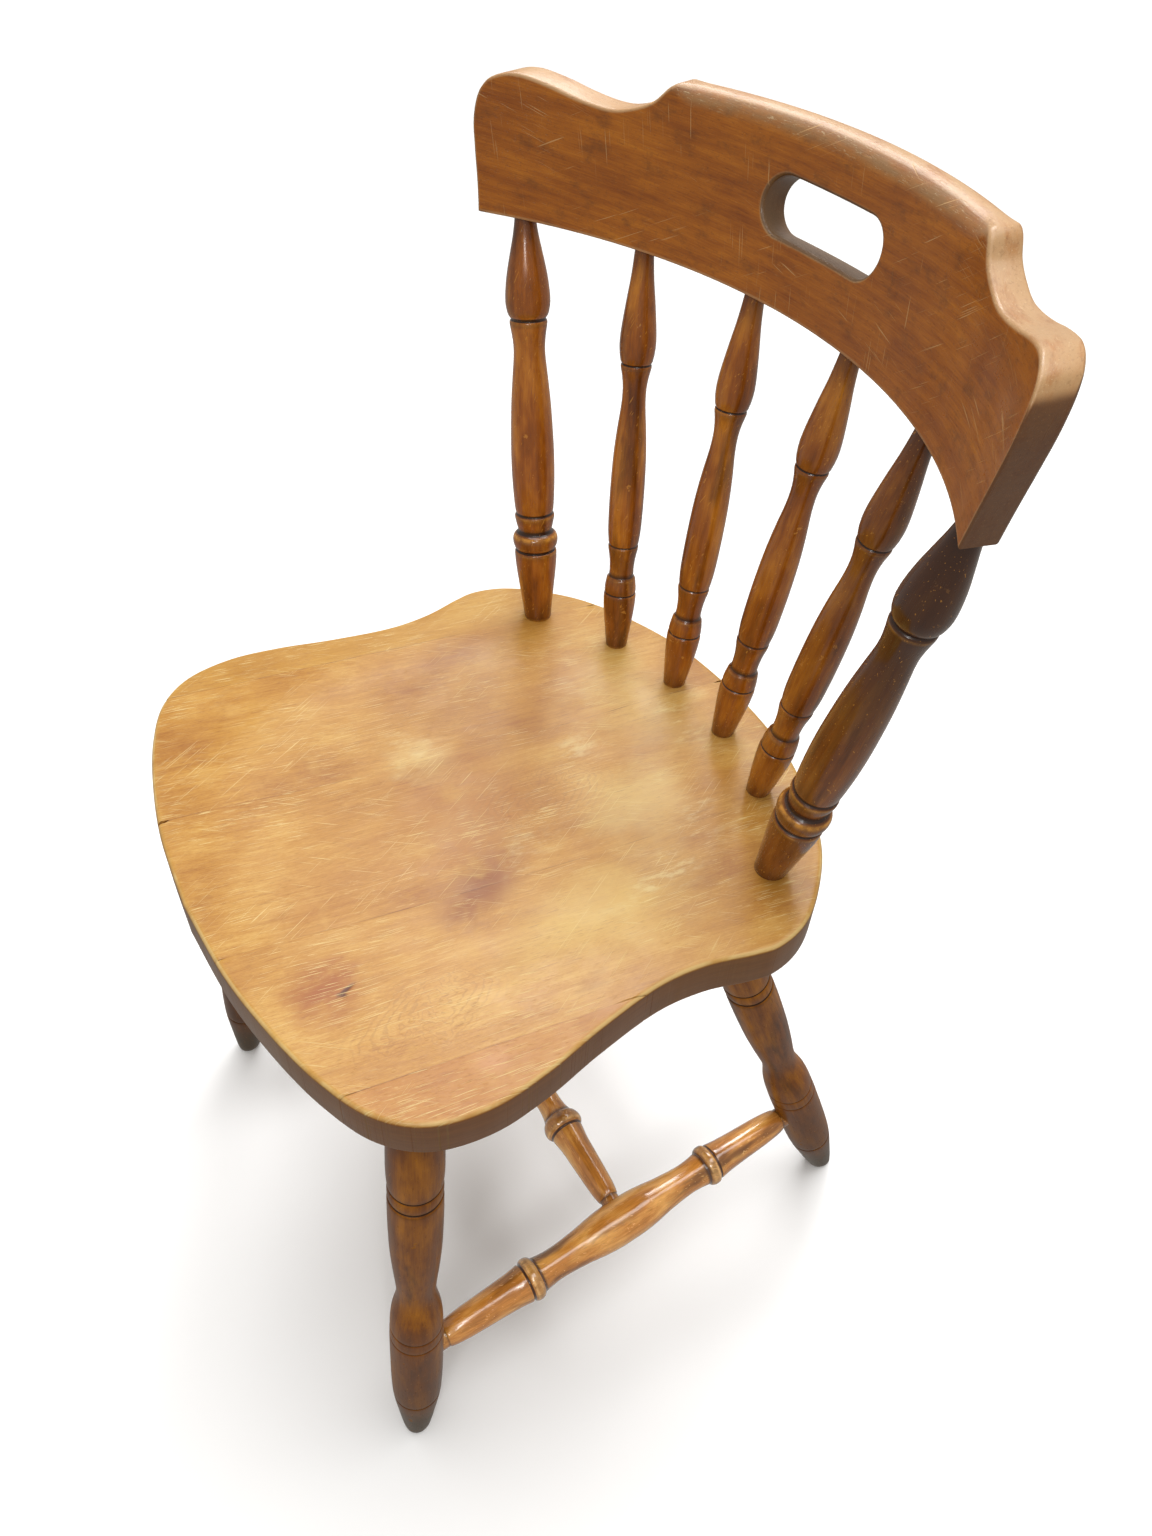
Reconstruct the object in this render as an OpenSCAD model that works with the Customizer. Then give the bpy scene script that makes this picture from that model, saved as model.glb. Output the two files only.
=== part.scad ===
// Spindle-back dining chair in solid wood, built from turned parts, a glued-up
// seat and a bent crest rail. Every tenon sits in its own blind socket.
// Millimetres. +Z up, +Y to the back, +X to the sitter's left seen from the
// front (the viewer's right). Origin on the floor under the middle of the chair.

/* [Seat] */
// Height of the seat's top face at mid depth
seat_top = 445; // [425:1:465]
// Seat board thickness
seat_thick = 30; // [26:1:36]
// Fall of the seat towards the back, in degrees
seat_fall = 2; // [0:0.5:3]
// Depth of the shallow dish worked into the top
dish_depth = 5; // [3:0.5:8]
// Radius of the dished area at the top face
dish_reach = 165; // [150:1:170]
// Slant of the board joints, sideways run for each unit of depth
joint_slant = 0.14; // [0.13:0.01:0.16]

/* [Back] */
// Height of the crest rail's bottom edge at the middle
crest_low = 715.5; // [708:0.5:722]
// Height of the raised middle of the crest rail
crest_high = 808.5; // [807:0.5:812]
// Thickness of the crest rail
crest_thick = 18; // [17:0.5:21]
// Radius the crest rail is bent to, at mid thickness
crest_bend = 326; // [322:1:332]
// Backward lean of the crest rail, in degrees
crest_lean = 12.5; // [11.5:0.5:13.5]
// Length of the hand slot
slot_long = 96; // [80:1:100]
// Height of the hand slot
slot_high = 31; // [27:1:34]
// Radius of the post tenons in the crest rail
post_top_tenon = 5.5; // [4.5:0.25:5.75]
// Radius of the spindle tenons in the crest rail
spindle_top_tenon = 5; // [4:0.25:5.25]
// Radius of the post tenons in the seat
post_foot_tenon = 8.5; // [7:0.25:9]
// Radius of the spindle tenons in the seat
spindle_foot_tenon = 6; // [5:0.25:7]
// Radius of the brads that lock the post tenons
brad_radius = 1.25; // [1:0.05:1.5]

/* [Base] */
// Radius of the leg tenons in the seat
leg_tenon = 11; // [9:0.25:12]
// Height of the stretchers' axes above the floor
stretcher_high = 115; // [108:1:122]
// Radius of the side stretcher ends in the legs
side_tenon = 8.5; // [7:0.25:9]
// Radius of the centre stretcher ends in the side stretchers
centre_tenon = 7.5; // [6:0.25:8]

/* [Fits] */
// Clearance around every tenon, on the radius
fit = 0.05; // [0.05:0.05:0.2]
// Extra depth of every blind socket past its tenon
socket_extra = 1; // [0.5:0.5:2]

/* [Hidden] */
$fn = 96;
steps = 5;
honey = [0.80, 0.60, 0.34];
brown = [0.50, 0.30, 0.13];
dark = [0.36, 0.20, 0.10];
mid = [0.60, 0.38, 0.18];
steel = [0.45, 0.44, 0.42];
rake = tan(seat_fall);
lean = tan(crest_lean);
crest_back = 197;
crest_rise = 0.08;

// ---- helpers -------------------------------------------------------------
function seat_z(y) = seat_top - rake * y;
function crest_z(y) = crest_low + crest_rise * (crest_back - y);
function under_z(y) = seat_top - seat_thick / cos(seat_fall) - rake * y;
function cr(a, b, c, d, t) = 0.5 * ((2 * b) + (c - a) * t
  + (2 * a - 5 * b + 4 * c - d) * t * t + (3 * b - a - 3 * c + d) * t * t * t);
// smooth curve through the points p, both ends kept
function curve(p, n = steps) = let (k = len(p)) concat(
  [for (i = [0 : k - 2]) for (j = [0 : n - 1])
    let (a = p[max(i - 1, 0)], b = p[i], c = p[i + 1], d = p[min(i + 2, k - 1)])
    cr(a, b, c, d, j / n)], [p[k - 1]]);
function flip(p) = [for (i = [len(p) - 1 : -1 : 0]) p[i]];
// a point part of the way from a to b
function at_height(a, b, z) = a + (b - a) * (z - a[2]) / (b[2] - a[2]);
function mx(p) = [-p[0], p[1], p[2]];
module along(a, b) {
  v = b - a; l = norm(v);
  translate(a) rotate([0, acos(v[2] / l), atan2(v[1], v[0])]) children();
}
// a turning: pr holds [distance along the axis, radius], both ends closed
module turned(pr) {
  rotate_extrude() polygon(concat([[0, pr[0][0]]],
    [for (q = pr) [q[1], q[0]]], [[0, pr[len(pr) - 1][0]]]));
}
module peg(a, b, from, to, r) along(a, b) rotate([0, 0, 40]) translate([0, 0, from])
  cylinder(h = to - from, r = r);
module above_seat() translate([0, 0, seat_top]) rotate([-seat_fall, 0, 0])
  translate([-400, -400, 0]) cube([800, 800, 600]);
module below_seat() translate([0, 0, seat_top]) rotate([-seat_fall, 0, 0])
  translate([-400, -400, -seat_thick - 700]) cube([800, 800, 700]);

// ---- where the parts meet ------------------------------------------------
post_a = [149, 102, seat_z(102)];
post_b = [203, 127.5, crest_z(127.5)];
outer_a = [89.5, 137.5, seat_z(137.5)];
outer_b = [128, 171.5, crest_z(171.5)];
inner_a = [30.5, 151, seat_z(151)];
inner_b = [43.5, 194.5, crest_z(194.5)];
front_a = [193.5, -206.5, 0];
front_b = [170, -156, under_z(-156)];
rear_a = [184.5, 203, 0];
rear_b = [148, 68, under_z(68)];
side_a = at_height(front_a, front_b, stretcher_high);
side_b = at_height(rear_a, rear_b, stretcher_high);
side_m = (side_a + side_b) / 2;
post_len = norm(post_b - post_a);
outer_len = norm(outer_b - outer_a);
inner_len = norm(inner_b - inner_a);
front_len = norm(front_b - front_a);
rear_len = norm(rear_b - rear_a);
side_len = norm(side_b - side_a);
centre_len = 2 * side_m[0];

// ---- turning profiles, [along, radius] ------------------------------------
// spindle, written for 284 between seat and crest rail
spindle_pr = concat(
  curve([[-6, 7.2], [0, 8], [9, 9.1], [20, 10.4], [32, 11.6], [41, 12]]),
  [[43.2, 11.8], [44.2, 10.8], [45.2, 11.5]],
  curve([[46, 11.7], [51, 11.3], [56, 10.5]]), [[57.6, 9.4]],
  curve([[58, 9], [63, 8.9], [70, 9.3], [76, 10.2], [79, 10.8]]),
  [[81.5, 11], [82.6, 10.1], [83.4, 10.6]],
  curve([[84, 10.9], [95, 11.9], [114, 12.2], [133, 12], [150, 11.4],
    [166, 10.2], [180, 8.7], [188, 8.1], [196, 8.1], [203, 8.9], [208.5, 10.1]]),
  [[210, 10.4], [211.4, 10.3], [212.2, 9.3], [213, 10.3]],
  curve([[214, 10.8], [219, 11.7], [226, 12.1], [234, 11.6], [242, 10.7],
    [253, 9.3], [267, 7.4], [284, 6], [294, 5.6]]));
// corner post, written for 285 between seat and crest rail
post_pr = concat(
  curve([[-6, 9.6], [0, 10.3], [10, 11.4], [20, 12.6], [33, 14.2], [45, 15.5], [53.5, 15.9]]),
  [[54.8, 15.6], [55.6, 14.2], [56.6, 14.4]],
  curve([[57, 15], [59.5, 16.2], [62.5, 16.8], [65.5, 16.7], [68, 15.6], [69.4, 13.9]]),
  curve([[70, 12.8], [72.4, 12.8], [77, 13.9], [81, 14.7]]),
  [[83, 14.7], [84.2, 13.4], [85.2, 13.5]],
  curve([[86, 14], [89, 14.4], [98, 15], [113, 15.6], [130, 15.6],
    [148, 15], [166, 14], [184, 12.4], [197, 11.1], [205, 11], [212, 11.8], [218.5, 12.9]]),
  [[220, 13], [221.2, 12.7], [222, 11.8], [223, 12.3]],
  curve([[224, 13.2], [227, 14.4], [233, 15.3], [241, 14.9], [251, 13.5],
    [263, 11], [275, 8.4], [285, 7], [297, 6.4]]));
// leg, written for 420 from floor to seat
leg_pr = concat(
  curve([[-5, 7.8], [0, 9.6], [6, 10.8], [18, 12.5], [36, 14.8], [52, 16.8], [60, 17.6]]),
  [[61.4, 17.6], [62.2, 16.7], [63.2, 17.7]],
  curve([[64, 17.9], [75, 18.4], [92, 18.8], [120, 18.9], [151, 18.9]]),
  [[152.6, 18.8], [153.4, 18.1], [154.2, 18.8]],
  [[164.8, 18.5], [165.6, 17.8], [166.4, 18.4]],
  curve([[167, 18.4], [177, 18], [188, 16.9], [198, 15], [206, 13.7], [213, 13.3],
    [220, 13.5], [229, 14.2], [240, 15.1], [253, 16], [268, 16.8], [288, 17.3], [308, 17.5], [327, 17.4]]),
  [[328.4, 17.2], [329.6, 16], [331, 16.8]],
  curve([[332, 17.1], [335.5, 17.3], [339, 17.1]]),
  [[340.4, 16.9], [341.4, 15.8], [342.6, 16.8]],
  curve([[344, 17.1], [352, 17.5], [364, 17.6], [382, 17.2], [402, 16.2], [420, 15.2], [436, 14.4]]));
// half of the side stretcher, from the leg axis to the middle
side_half = concat(
  [[-3, side_tenon], [23, side_tenon]],
  curve([[24, side_tenon + 0.7], [30, 10.3], [40, 11.2], [50, 11.7], [62, 12.2], [74, 12.8], [83, 13.5], [89.5, 14.4]]),
  [[90.6, 14.3], [91.4, 13.3], [92.2, 14.2]],
  curve([[92.6, 15], [94, 15.9], [96, 16.2], [98, 16], [100, 15.1], [101.2, 13.8]]),
  curve([[102, 13.2], [106, 12.6], [112, 11.9], [118, 11.7], [126, 12], [134, 12.7], [142, 13.5],
    [150, 14.7], [160, 16], [170, 16.7]]));
// half of the centre stretcher, from the side stretcher axis to the middle
centre_half = concat(
  [[-3, centre_tenon], [20, centre_tenon]],
  curve([[21, centre_tenon + 0.9], [27, 9.5], [36, 10.2], [50, 10.9], [64, 11.5], [73, 12], [83, 13.5]]),
  [[84.2, 13.4], [85, 12.4], [85.8, 13.3]],
  curve([[86.4, 14.5], [88.5, 15.9], [91, 16.3], [93.5, 16], [96.5, 14.9], [98.6, 13.4]]),
  curve([[99.4, 12.5], [105, 10.9], [112, 10.1], [120, 10.1], [130, 10.9], [142, 12.5], [156, 14.3], [168, 15.1]]));
function stretch(p, k) = [for (q = p) [q[0] * k, q[1]]];
function both_ends(h, l) = concat(h, [for (q = flip(h)) [l - q[0], q[1]]]);

// ---- seat ----------------------------------------------------------------
seat_right = curve([[0, -225.5], [60, -221.5], [110, -212], [150, -200], [182, -184],
  [202, -160], [209, -126], [205, -90], [196, -52], [188.5, -8], [190, 25],
  [197.5, 54], [200, 72], [194, 95], [178, 118], [150, 144], [110, 165], [60, 180.5], [0, 186]], 4);
seat_poly = concat(seat_right, [for (i = [len(seat_right) - 2 : -1 : 1]) [-seat_right[i][0], seat_right[i][1]]]);
joints = [-300, -160, -40, 81, 192, 340];
module board_strip(i) {
  a = joints[i]; b = joints[i + 1]; k = joint_slant * 300;
  translate([0, 0, seat_top - 100]) linear_extrude(160)
    polygon([[a - k, -300], [b - k, -300], [b + k, 300], [a + k, 300]]);
}
module slab() translate([0, 0, seat_top]) rotate([-seat_fall, 0, 0])
  translate([0, 0, -seat_thick]) linear_extrude(seat_thick) polygon(seat_poly);
dish_pr = curve([for (q = [[0, 1], [0.3, 0.96], [0.55, 0.8], [0.76, 0.5], [0.9, 0.18], [1, 0]])
  [q[0] * dish_reach, -q[1] * dish_depth]], 3);
module dish() translate([0, 0, seat_top]) rotate([-seat_fall, 0, 0]) translate([0, -32, 0])
  rotate_extrude($fn = 180) polygon(concat(dish_pr, [[dish_reach + 20, 0.5 * dish_depth],
    [dish_reach + 20, 12], [0, 12]]));
module seat_sockets() {
  for (s = [1, -1]) {
    m = [s, 1, 1];
    pa = [s * post_a[0], post_a[1], post_a[2]]; pb = [s * post_b[0], post_b[1], post_b[2]];
    peg(pa, pb, -22 - socket_extra, 8, post_foot_tenon + fit);
    oa = [s * outer_a[0], outer_a[1], outer_a[2]]; ob = [s * outer_b[0], outer_b[1], outer_b[2]];
    peg(oa, ob, -20 - socket_extra, 8, spindle_foot_tenon + fit);
    ia = [s * inner_a[0], inner_a[1], inner_a[2]]; ib = [s * inner_b[0], inner_b[1], inner_b[2]];
    peg(ia, ib, -20 - socket_extra, 8, spindle_foot_tenon + fit);
    fa = [s * front_a[0], front_a[1], 0]; fb = [s * front_b[0], front_b[1], front_b[2]];
    peg(fa, fb, front_len - 12, front_len + 20 + socket_extra, leg_tenon + fit);
    ra = [s * rear_a[0], rear_a[1], 0]; rb = [s * rear_b[0], rear_b[1], rear_b[2]];
    peg(ra, rb, rear_len - 12, rear_len + 20 + socket_extra, leg_tenon + fit);
  }
}
module board(i) color(honey) difference() {
  intersection() { slab(); board_strip(i); }
  dish();
  seat_sockets();
}
module seat_board_1() board(0);
module seat_board_2() board(1);
module seat_board_3() board(2);
module seat_board_4() board(3);
module seat_board_5() board(4);

// ---- back ----------------------------------------------------------------
// outline of one end of the crest rail: the upright end, the rounded ear and
// the scoop up to the raised middle, seen along a level line turned ear_turn
// degrees outwards from the chair's depth
ear_turn = 12;
ear_side = curve([[166, 712], [167.5, 728], [169.5, 743], [172, 759], [174, 775], [173, 788],
  [169.5, 795.5], [165, 799], [158.5, 801], [151.5, 801.2], [144.5, 800], [133, 797.2],
  [117, 792.8], [102, 790.2], [90, 790.2], [77, 793.8], [69, 797.6], [65, 801.2], [61.5, 805],
  [57.5, 807.7], [52.5, 809], [46, 810]], 5);
bend_y = crest_back - crest_bend / cos(crest_lean);
module below_crest() translate([0, crest_back, crest_low]) rotate([-atan(crest_rise), 0, 0])
  translate([-400, -800, -900]) cube([800, 1600, 900]);
module bent_board() difference() {
  intersection() {
    translate([0, bend_y, crest_low]) rotate([-crest_lean, 0, 0]) translate([0, 0, -120]) difference() {
      cylinder(h = 320, r = crest_bend + crest_thick / 2, $fn = 360);
      translate([0, 0, -1]) cylinder(h = 322, r = crest_bend - crest_thick / 2, $fn = 360);
    }
    translate([-260, 60, crest_low - 10]) cube([520, 240, crest_high - crest_low + 10]);
  }
  below_crest();
}
module ear_cut(s) translate([0, bend_y + lean * 64.5, 0]) rotate([0, 0, -s * ear_turn])
  mirror([s < 0 ? 1 : 0, 0, 0]) translate([0, 200, 0]) rotate([90, 0, 180]) mirror([1, 0, 0])
    linear_extrude(220) polygon(concat([[280, 690], [166, 690]], ear_side, [[46, 840], [280, 840]]));
// the raised middle is rounded over at its front and back top edges
roll_r = (crest_bend - crest_thick / 2) * cos(crest_lean);
roll_y = bend_y + lean * 84.5 + (crest_bend - crest_thick / 2) / cos(crest_lean) - roll_r;
module rolled_edge() intersection() {
  translate([0, roll_y, crest_high]) rotate_extrude($fn = 360) translate([roll_r, 0])
    polygon(concat([[-12, -16], [-2, -16]],
      curve([[0.2, -12], [1.4, -8.2], [4, -4], [8, -1.2], [11.5, -0.2]], 3),
      curve([[12.5, -0.2], [16, -1.2], [19, -3.6], [21.5, -7.6]], 3), [[34, -7.6], [34, 6], [-12, 6]]));
  translate([-141, 60, crest_low]) cube([282, 240, 200]);
}
module hand_slot() translate([0, crest_back + lean * 49, crest_low + 49]) rotate([90 - crest_lean, 0, 0])
  translate([0, 0, -40]) union() {
    translate([-(slot_long - slot_high) / 2, -slot_high / 2, 0]) cube([slot_long - slot_high, slot_high, 80]);
    for (s = [1, -1]) translate([s * (slot_long - slot_high) / 2, 0, 0]) cylinder(h = 80, r = slot_high / 2);
  }
module crest_sockets() for (s = [1, -1]) {
  pa = [s * post_a[0], post_a[1], post_a[2]]; pb = [s * post_b[0], post_b[1], post_b[2]];
  peg(pa, pb, post_len - 8, post_len + 20 + socket_extra, post_top_tenon + fit);
  oa = [s * outer_a[0], outer_a[1], outer_a[2]]; ob = [s * outer_b[0], outer_b[1], outer_b[2]];
  peg(oa, ob, outer_len - 8, outer_len + 20 + socket_extra, spindle_top_tenon + fit);
  ia = [s * inner_a[0], inner_a[1], inner_a[2]]; ib = [s * inner_b[0], inner_b[1], inner_b[2]];
  peg(ia, ib, inner_len - 8, inner_len + 20 + socket_extra, spindle_top_tenon + fit);
}
// brads driven from the back of the crest rail into the post tenons
brad_z = crest_low + 10;
brad_c = at_height(post_a, post_b, brad_z);
brad_t = atan2(brad_c[0], brad_c[1] - (bend_y + lean * 10));
module brad(s, r, from, to) translate([s * brad_c[0], brad_c[1], brad_z]) rotate([0, 0, -s * brad_t])
  rotate([-90, 0, 0]) translate([0, 0, from]) cylinder(h = to - from, r = r, $fn = 32);
module crest_rail() color(brown) difference() {
  bent_board();
  ear_cut(1);
  ear_cut(-1);
  rolled_edge();
  hand_slot();
  crest_sockets();
  for (s = [1, -1]) brad(s, brad_radius + fit, 0, 30);
}
module crest_pins() color(steel) for (s = [1, -1]) brad(s, brad_radius, -4, 8);
module upright(a, b, pr, l0, foot_r, top_r, foot_d) {
  l = norm(b - a);
  intersection() {
    along(a, b) turned(stretch(pr, l / l0));
    above_seat();
    below_crest();
  }
  peg(a, b, -foot_d, 3, foot_r);
  peg(a, b, l - 3, l + 20, top_r);
}
module post(s) color(brown) difference() {
  upright([s * post_a[0], post_a[1], post_a[2]], [s * post_b[0], post_b[1], post_b[2]],
    post_pr, 286, post_foot_tenon, post_top_tenon, 22);
  brad(s, brad_radius + fit, -4.5, 30);
}
module post_left() post(-1);
module post_right() post(1);
module outer(s) color(brown) upright([s * outer_a[0], outer_a[1], outer_a[2]],
  [s * outer_b[0], outer_b[1], outer_b[2]], spindle_pr, 284, spindle_foot_tenon, spindle_top_tenon, 20);
module inner(s) color(brown) upright([s * inner_a[0], inner_a[1], inner_a[2]],
  [s * inner_b[0], inner_b[1], inner_b[2]], spindle_pr, 284, spindle_foot_tenon, spindle_top_tenon, 20);
module spindle_1() outer(-1);
module spindle_2() inner(-1);
module spindle_3() inner(1);
module spindle_4() outer(1);

// ---- base ----------------------------------------------------------------
module side_bore(s) {
  a = [s * side_a[0], side_a[1], side_a[2]]; b = [s * side_b[0], side_b[1], side_b[2]];
  peg(a, b, -3 - socket_extra, 26, side_tenon + fit);
  peg(a, b, side_len - 26, side_len + 3 + socket_extra, side_tenon + fit);
}
module leg(s, a, b) color(dark) {
  p = [s * a[0], a[1], a[2]]; q = [s * b[0], b[1], b[2]]; l = norm(q - p);
  difference() {
    union() {
      intersection() {
        along(p, q) rotate([0, 0, 180]) turned(stretch(leg_pr, l / 420));
        below_seat();
        translate([-400, -400, 0]) cube([800, 800, 600]);
      }
      peg(p, q, l - 8, l + 20, leg_tenon);
    }
    side_bore(s);
  }
}
module leg_front_left() leg(-1, front_a, front_b);
module leg_front_right() leg(1, front_a, front_b);
module leg_rear_left() leg(-1, rear_a, rear_b);
module leg_rear_right() leg(1, rear_a, rear_b);
module side_stretcher(s) color(mid) difference() {
  along([s * side_a[0], side_a[1], side_a[2]], [s * side_b[0], side_b[1], side_b[2]])
    turned(both_ends(side_half, side_len));
  peg([-side_m[0], side_m[1], side_m[2]], side_m, -3 - socket_extra, 30, centre_tenon + fit);
  peg([-side_m[0], side_m[1], side_m[2]], side_m, centre_len - 30, centre_len + 3 + socket_extra, centre_tenon + fit);
}
module side_stretcher_left() side_stretcher(-1);
module side_stretcher_right() side_stretcher(1);
module centre_stretcher() color(mid)
  along([-side_m[0], side_m[1], side_m[2]], side_m) turned(both_ends(centre_half, centre_len));

seat_board_1();
seat_board_2();
seat_board_3();
seat_board_4();
seat_board_5();
crest_rail();
post_left();
post_right();
spindle_1();
spindle_2();
spindle_3();
spindle_4();
crest_pins();
leg_front_left();
leg_front_right();
leg_rear_left();
leg_rear_right();
side_stretcher_left();
side_stretcher_right();
centre_stretcher();
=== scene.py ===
import math
import bpy
import numpy as np
from mathutils import Matrix, Vector
from mathutils.geometry import delaunay_2d_cdt


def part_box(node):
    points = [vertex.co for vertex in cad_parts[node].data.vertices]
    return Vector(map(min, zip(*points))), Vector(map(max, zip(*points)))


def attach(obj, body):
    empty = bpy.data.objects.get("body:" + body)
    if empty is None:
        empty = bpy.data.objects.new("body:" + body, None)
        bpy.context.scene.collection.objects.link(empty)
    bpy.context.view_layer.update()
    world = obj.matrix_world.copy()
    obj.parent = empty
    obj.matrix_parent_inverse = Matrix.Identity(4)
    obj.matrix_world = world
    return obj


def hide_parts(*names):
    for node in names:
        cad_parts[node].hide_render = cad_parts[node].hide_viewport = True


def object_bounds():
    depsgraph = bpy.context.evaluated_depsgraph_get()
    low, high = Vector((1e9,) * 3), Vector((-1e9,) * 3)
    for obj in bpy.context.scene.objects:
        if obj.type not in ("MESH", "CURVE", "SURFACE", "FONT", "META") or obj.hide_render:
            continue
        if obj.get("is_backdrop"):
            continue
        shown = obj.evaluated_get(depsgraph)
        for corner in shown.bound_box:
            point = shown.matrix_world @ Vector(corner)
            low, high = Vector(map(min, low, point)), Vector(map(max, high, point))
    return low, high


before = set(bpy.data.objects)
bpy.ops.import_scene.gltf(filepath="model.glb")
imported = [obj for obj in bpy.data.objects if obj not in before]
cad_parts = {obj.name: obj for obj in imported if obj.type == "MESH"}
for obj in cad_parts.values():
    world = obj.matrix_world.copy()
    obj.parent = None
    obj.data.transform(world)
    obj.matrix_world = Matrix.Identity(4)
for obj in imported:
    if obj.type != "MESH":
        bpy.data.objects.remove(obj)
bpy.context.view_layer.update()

MM = 0.001
rad = math.radians

# ---------------------------------------------------------------- dimensions, as in the CAD, in mm
SEAT_TOP, SEAT_THICK, FALL = 445.0, 30.0, rad(2)
RAKE = math.tan(FALL)
LOW, HIGH, THICK, BEND, LEAN, BACK, RISE = 715.5, 808.25, 18.0, 326.0, rad(12.5), 197.0, 0.08
TL = math.tan(LEAN)
BY = BACK - BEND / math.cos(LEAN)
RF, RB = BEND - THICK / 2, BEND + THICK / 2


def seat_z(y): return SEAT_TOP - RAKE * y
def crest_z(y): return LOW + RISE * (BACK - y)
def under_z(y): return SEAT_TOP - SEAT_THICK / math.cos(FALL) - RAKE * y
def at_height(a, b, z): return a + (b - a) * ((z - a[2]) / (b[2] - a[2]))
def V(x, y, z): return np.array([x, y, z], float)


def cr(a, b, c, d, t):
    return 0.5 * (2 * b + (c - a) * t + (2 * a - 5 * b + 4 * c - d) * t * t + (3 * b - a - 3 * c + d) * t ** 3)


def curve(p, n=8):
    p = np.array(p, float)
    k, out = len(p), []
    for i in range(k - 1):
        a, b, c, d = p[max(i - 1, 0)], p[i], p[i + 1], p[min(i + 2, k - 1)]
        out += [cr(a, b, c, d, j / n) for j in range(n)]
    return [tuple(q) for q in out] + [tuple(p[-1])]


POST_A, POST_B = V(149, 102, seat_z(102)), V(203, 127.5, crest_z(127.5))
OUT_A, OUT_B = V(89.5, 137.5, seat_z(137.5)), V(128, 171.5, crest_z(171.5))
IN_A, IN_B = V(30.5, 151, seat_z(151)), V(43.5, 194.5, crest_z(194.5))
FRONT_A, FRONT_B = V(193.5, -206.5, 0), V(170, -156, under_z(-156))
REAR_A, REAR_B = V(184.5, 203, 0), V(148, 68, under_z(68))
STRETCH_Z = 115.0
SIDE_A, SIDE_B = at_height(FRONT_A, FRONT_B, STRETCH_Z), at_height(REAR_A, REAR_B, STRETCH_Z)
SIDE_M = (SIDE_A + SIDE_B) / 2

SPINDLE = (curve([(-6, 7.2), (0, 8), (9, 9.1), (20, 10.4), (32, 11.6), (41, 12)])
    + [(43.2, 11.8), (44.2, 10.8), (45.2, 11.5)]
    + curve([(46, 11.7), (51, 11.3), (56, 10.5)]) + [(57.6, 9.4)]
    + curve([(58, 9), (63, 8.9), (70, 9.3), (76, 10.2), (79, 10.8)])
    + [(81.5, 11), (82.6, 10.1), (83.4, 10.6)]
    + curve([(84, 10.9), (95, 11.9), (114, 12.2), (133, 12), (150, 11.4),
        (166, 10.2), (180, 8.7), (188, 8.1), (196, 8.1), (203, 8.9), (208.5, 10.1)])
    + [(210, 10.4), (211.4, 10.3), (212.2, 9.3), (213, 10.3)]
    + curve([(214, 10.8), (219, 11.7), (226, 12.1), (234, 11.6), (242, 10.7),
        (253, 9.3), (267, 7.4), (284, 6), (294, 5.6)]))
POST = (curve([(-6, 9.6), (0, 10.3), (10, 11.4), (20, 12.6), (33, 14.2), (45, 15.5), (53.5, 15.9)])
    + [(54.8, 15.6), (55.6, 14.2), (56.6, 14.4)]
    + curve([(57, 15), (59.5, 16.2), (62.5, 16.8), (65.5, 16.7), (68, 15.6), (69.4, 13.9)])
    + curve([(70, 12.8), (72.4, 12.8), (77, 13.9), (81, 14.7)])
    + [(83, 14.7), (84.2, 13.4), (85.2, 13.5)]
    + curve([(86, 14), (89, 14.4), (98, 15), (113, 15.6), (130, 15.6),
        (148, 15), (166, 14), (184, 12.4), (197, 11.1), (205, 11), (212, 11.8), (218.5, 12.9)])
    + [(220, 13), (221.2, 12.7), (222, 11.8), (223, 12.3)]
    + curve([(224, 13.2), (227, 14.4), (233, 15.3), (241, 14.9), (251, 13.5),
        (263, 11), (275, 8.4), (285, 7), (297, 6.4)]))
LEG = (curve([(0, 9.6), (6, 10.8), (18, 12.5), (36, 14.8), (52, 16.8), (60, 17.6)])
    + [(61.4, 17.6), (62.2, 16.7), (63.2, 17.7)]
    + curve([(64, 17.9), (75, 18.4), (92, 18.8), (120, 18.9), (151, 18.9)])
    + [(152.6, 18.8), (153.4, 18.1), (154.2, 18.8)]
    + [(164.8, 18.5), (165.6, 17.8), (166.4, 18.4)]
    + curve([(167, 18.4), (177, 18), (188, 16.9), (198, 15), (206, 13.7), (213, 13.3),
        (220, 13.5), (229, 14.2), (240, 15.1), (253, 16), (268, 16.8), (288, 17.3), (308, 17.5), (327, 17.4)])
    + [(328.4, 17.2), (329.6, 16), (331, 16.8)]
    + curve([(332, 17.1), (335.5, 17.3), (339, 17.1)])
    + [(340.4, 16.9), (341.4, 15.8), (342.6, 16.8)]
    + curve([(344, 17.1), (352, 17.5), (364, 17.6), (382, 17.2), (402, 16.2), (420, 15.2), (436, 14.4)]))
SIDE_H = ([(-3, 8.5), (23, 8.5)]
    + curve([(24, 9.2), (30, 10.3), (40, 11.2), (50, 11.7), (62, 12.2), (74, 12.8), (83, 13.5), (89.5, 14.4)])
    + [(90.6, 14.3), (91.4, 13.3), (92.2, 14.2)]
    + curve([(92.6, 15), (94, 15.9), (96, 16.2), (98, 16), (100, 15.1), (101.2, 13.8)])
    + curve([(102, 13.2), (106, 12.6), (112, 11.9), (118, 11.7), (126, 12), (134, 12.7), (142, 13.5),
        (150, 14.7), (160, 16), (170, 16.7)]))
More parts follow.
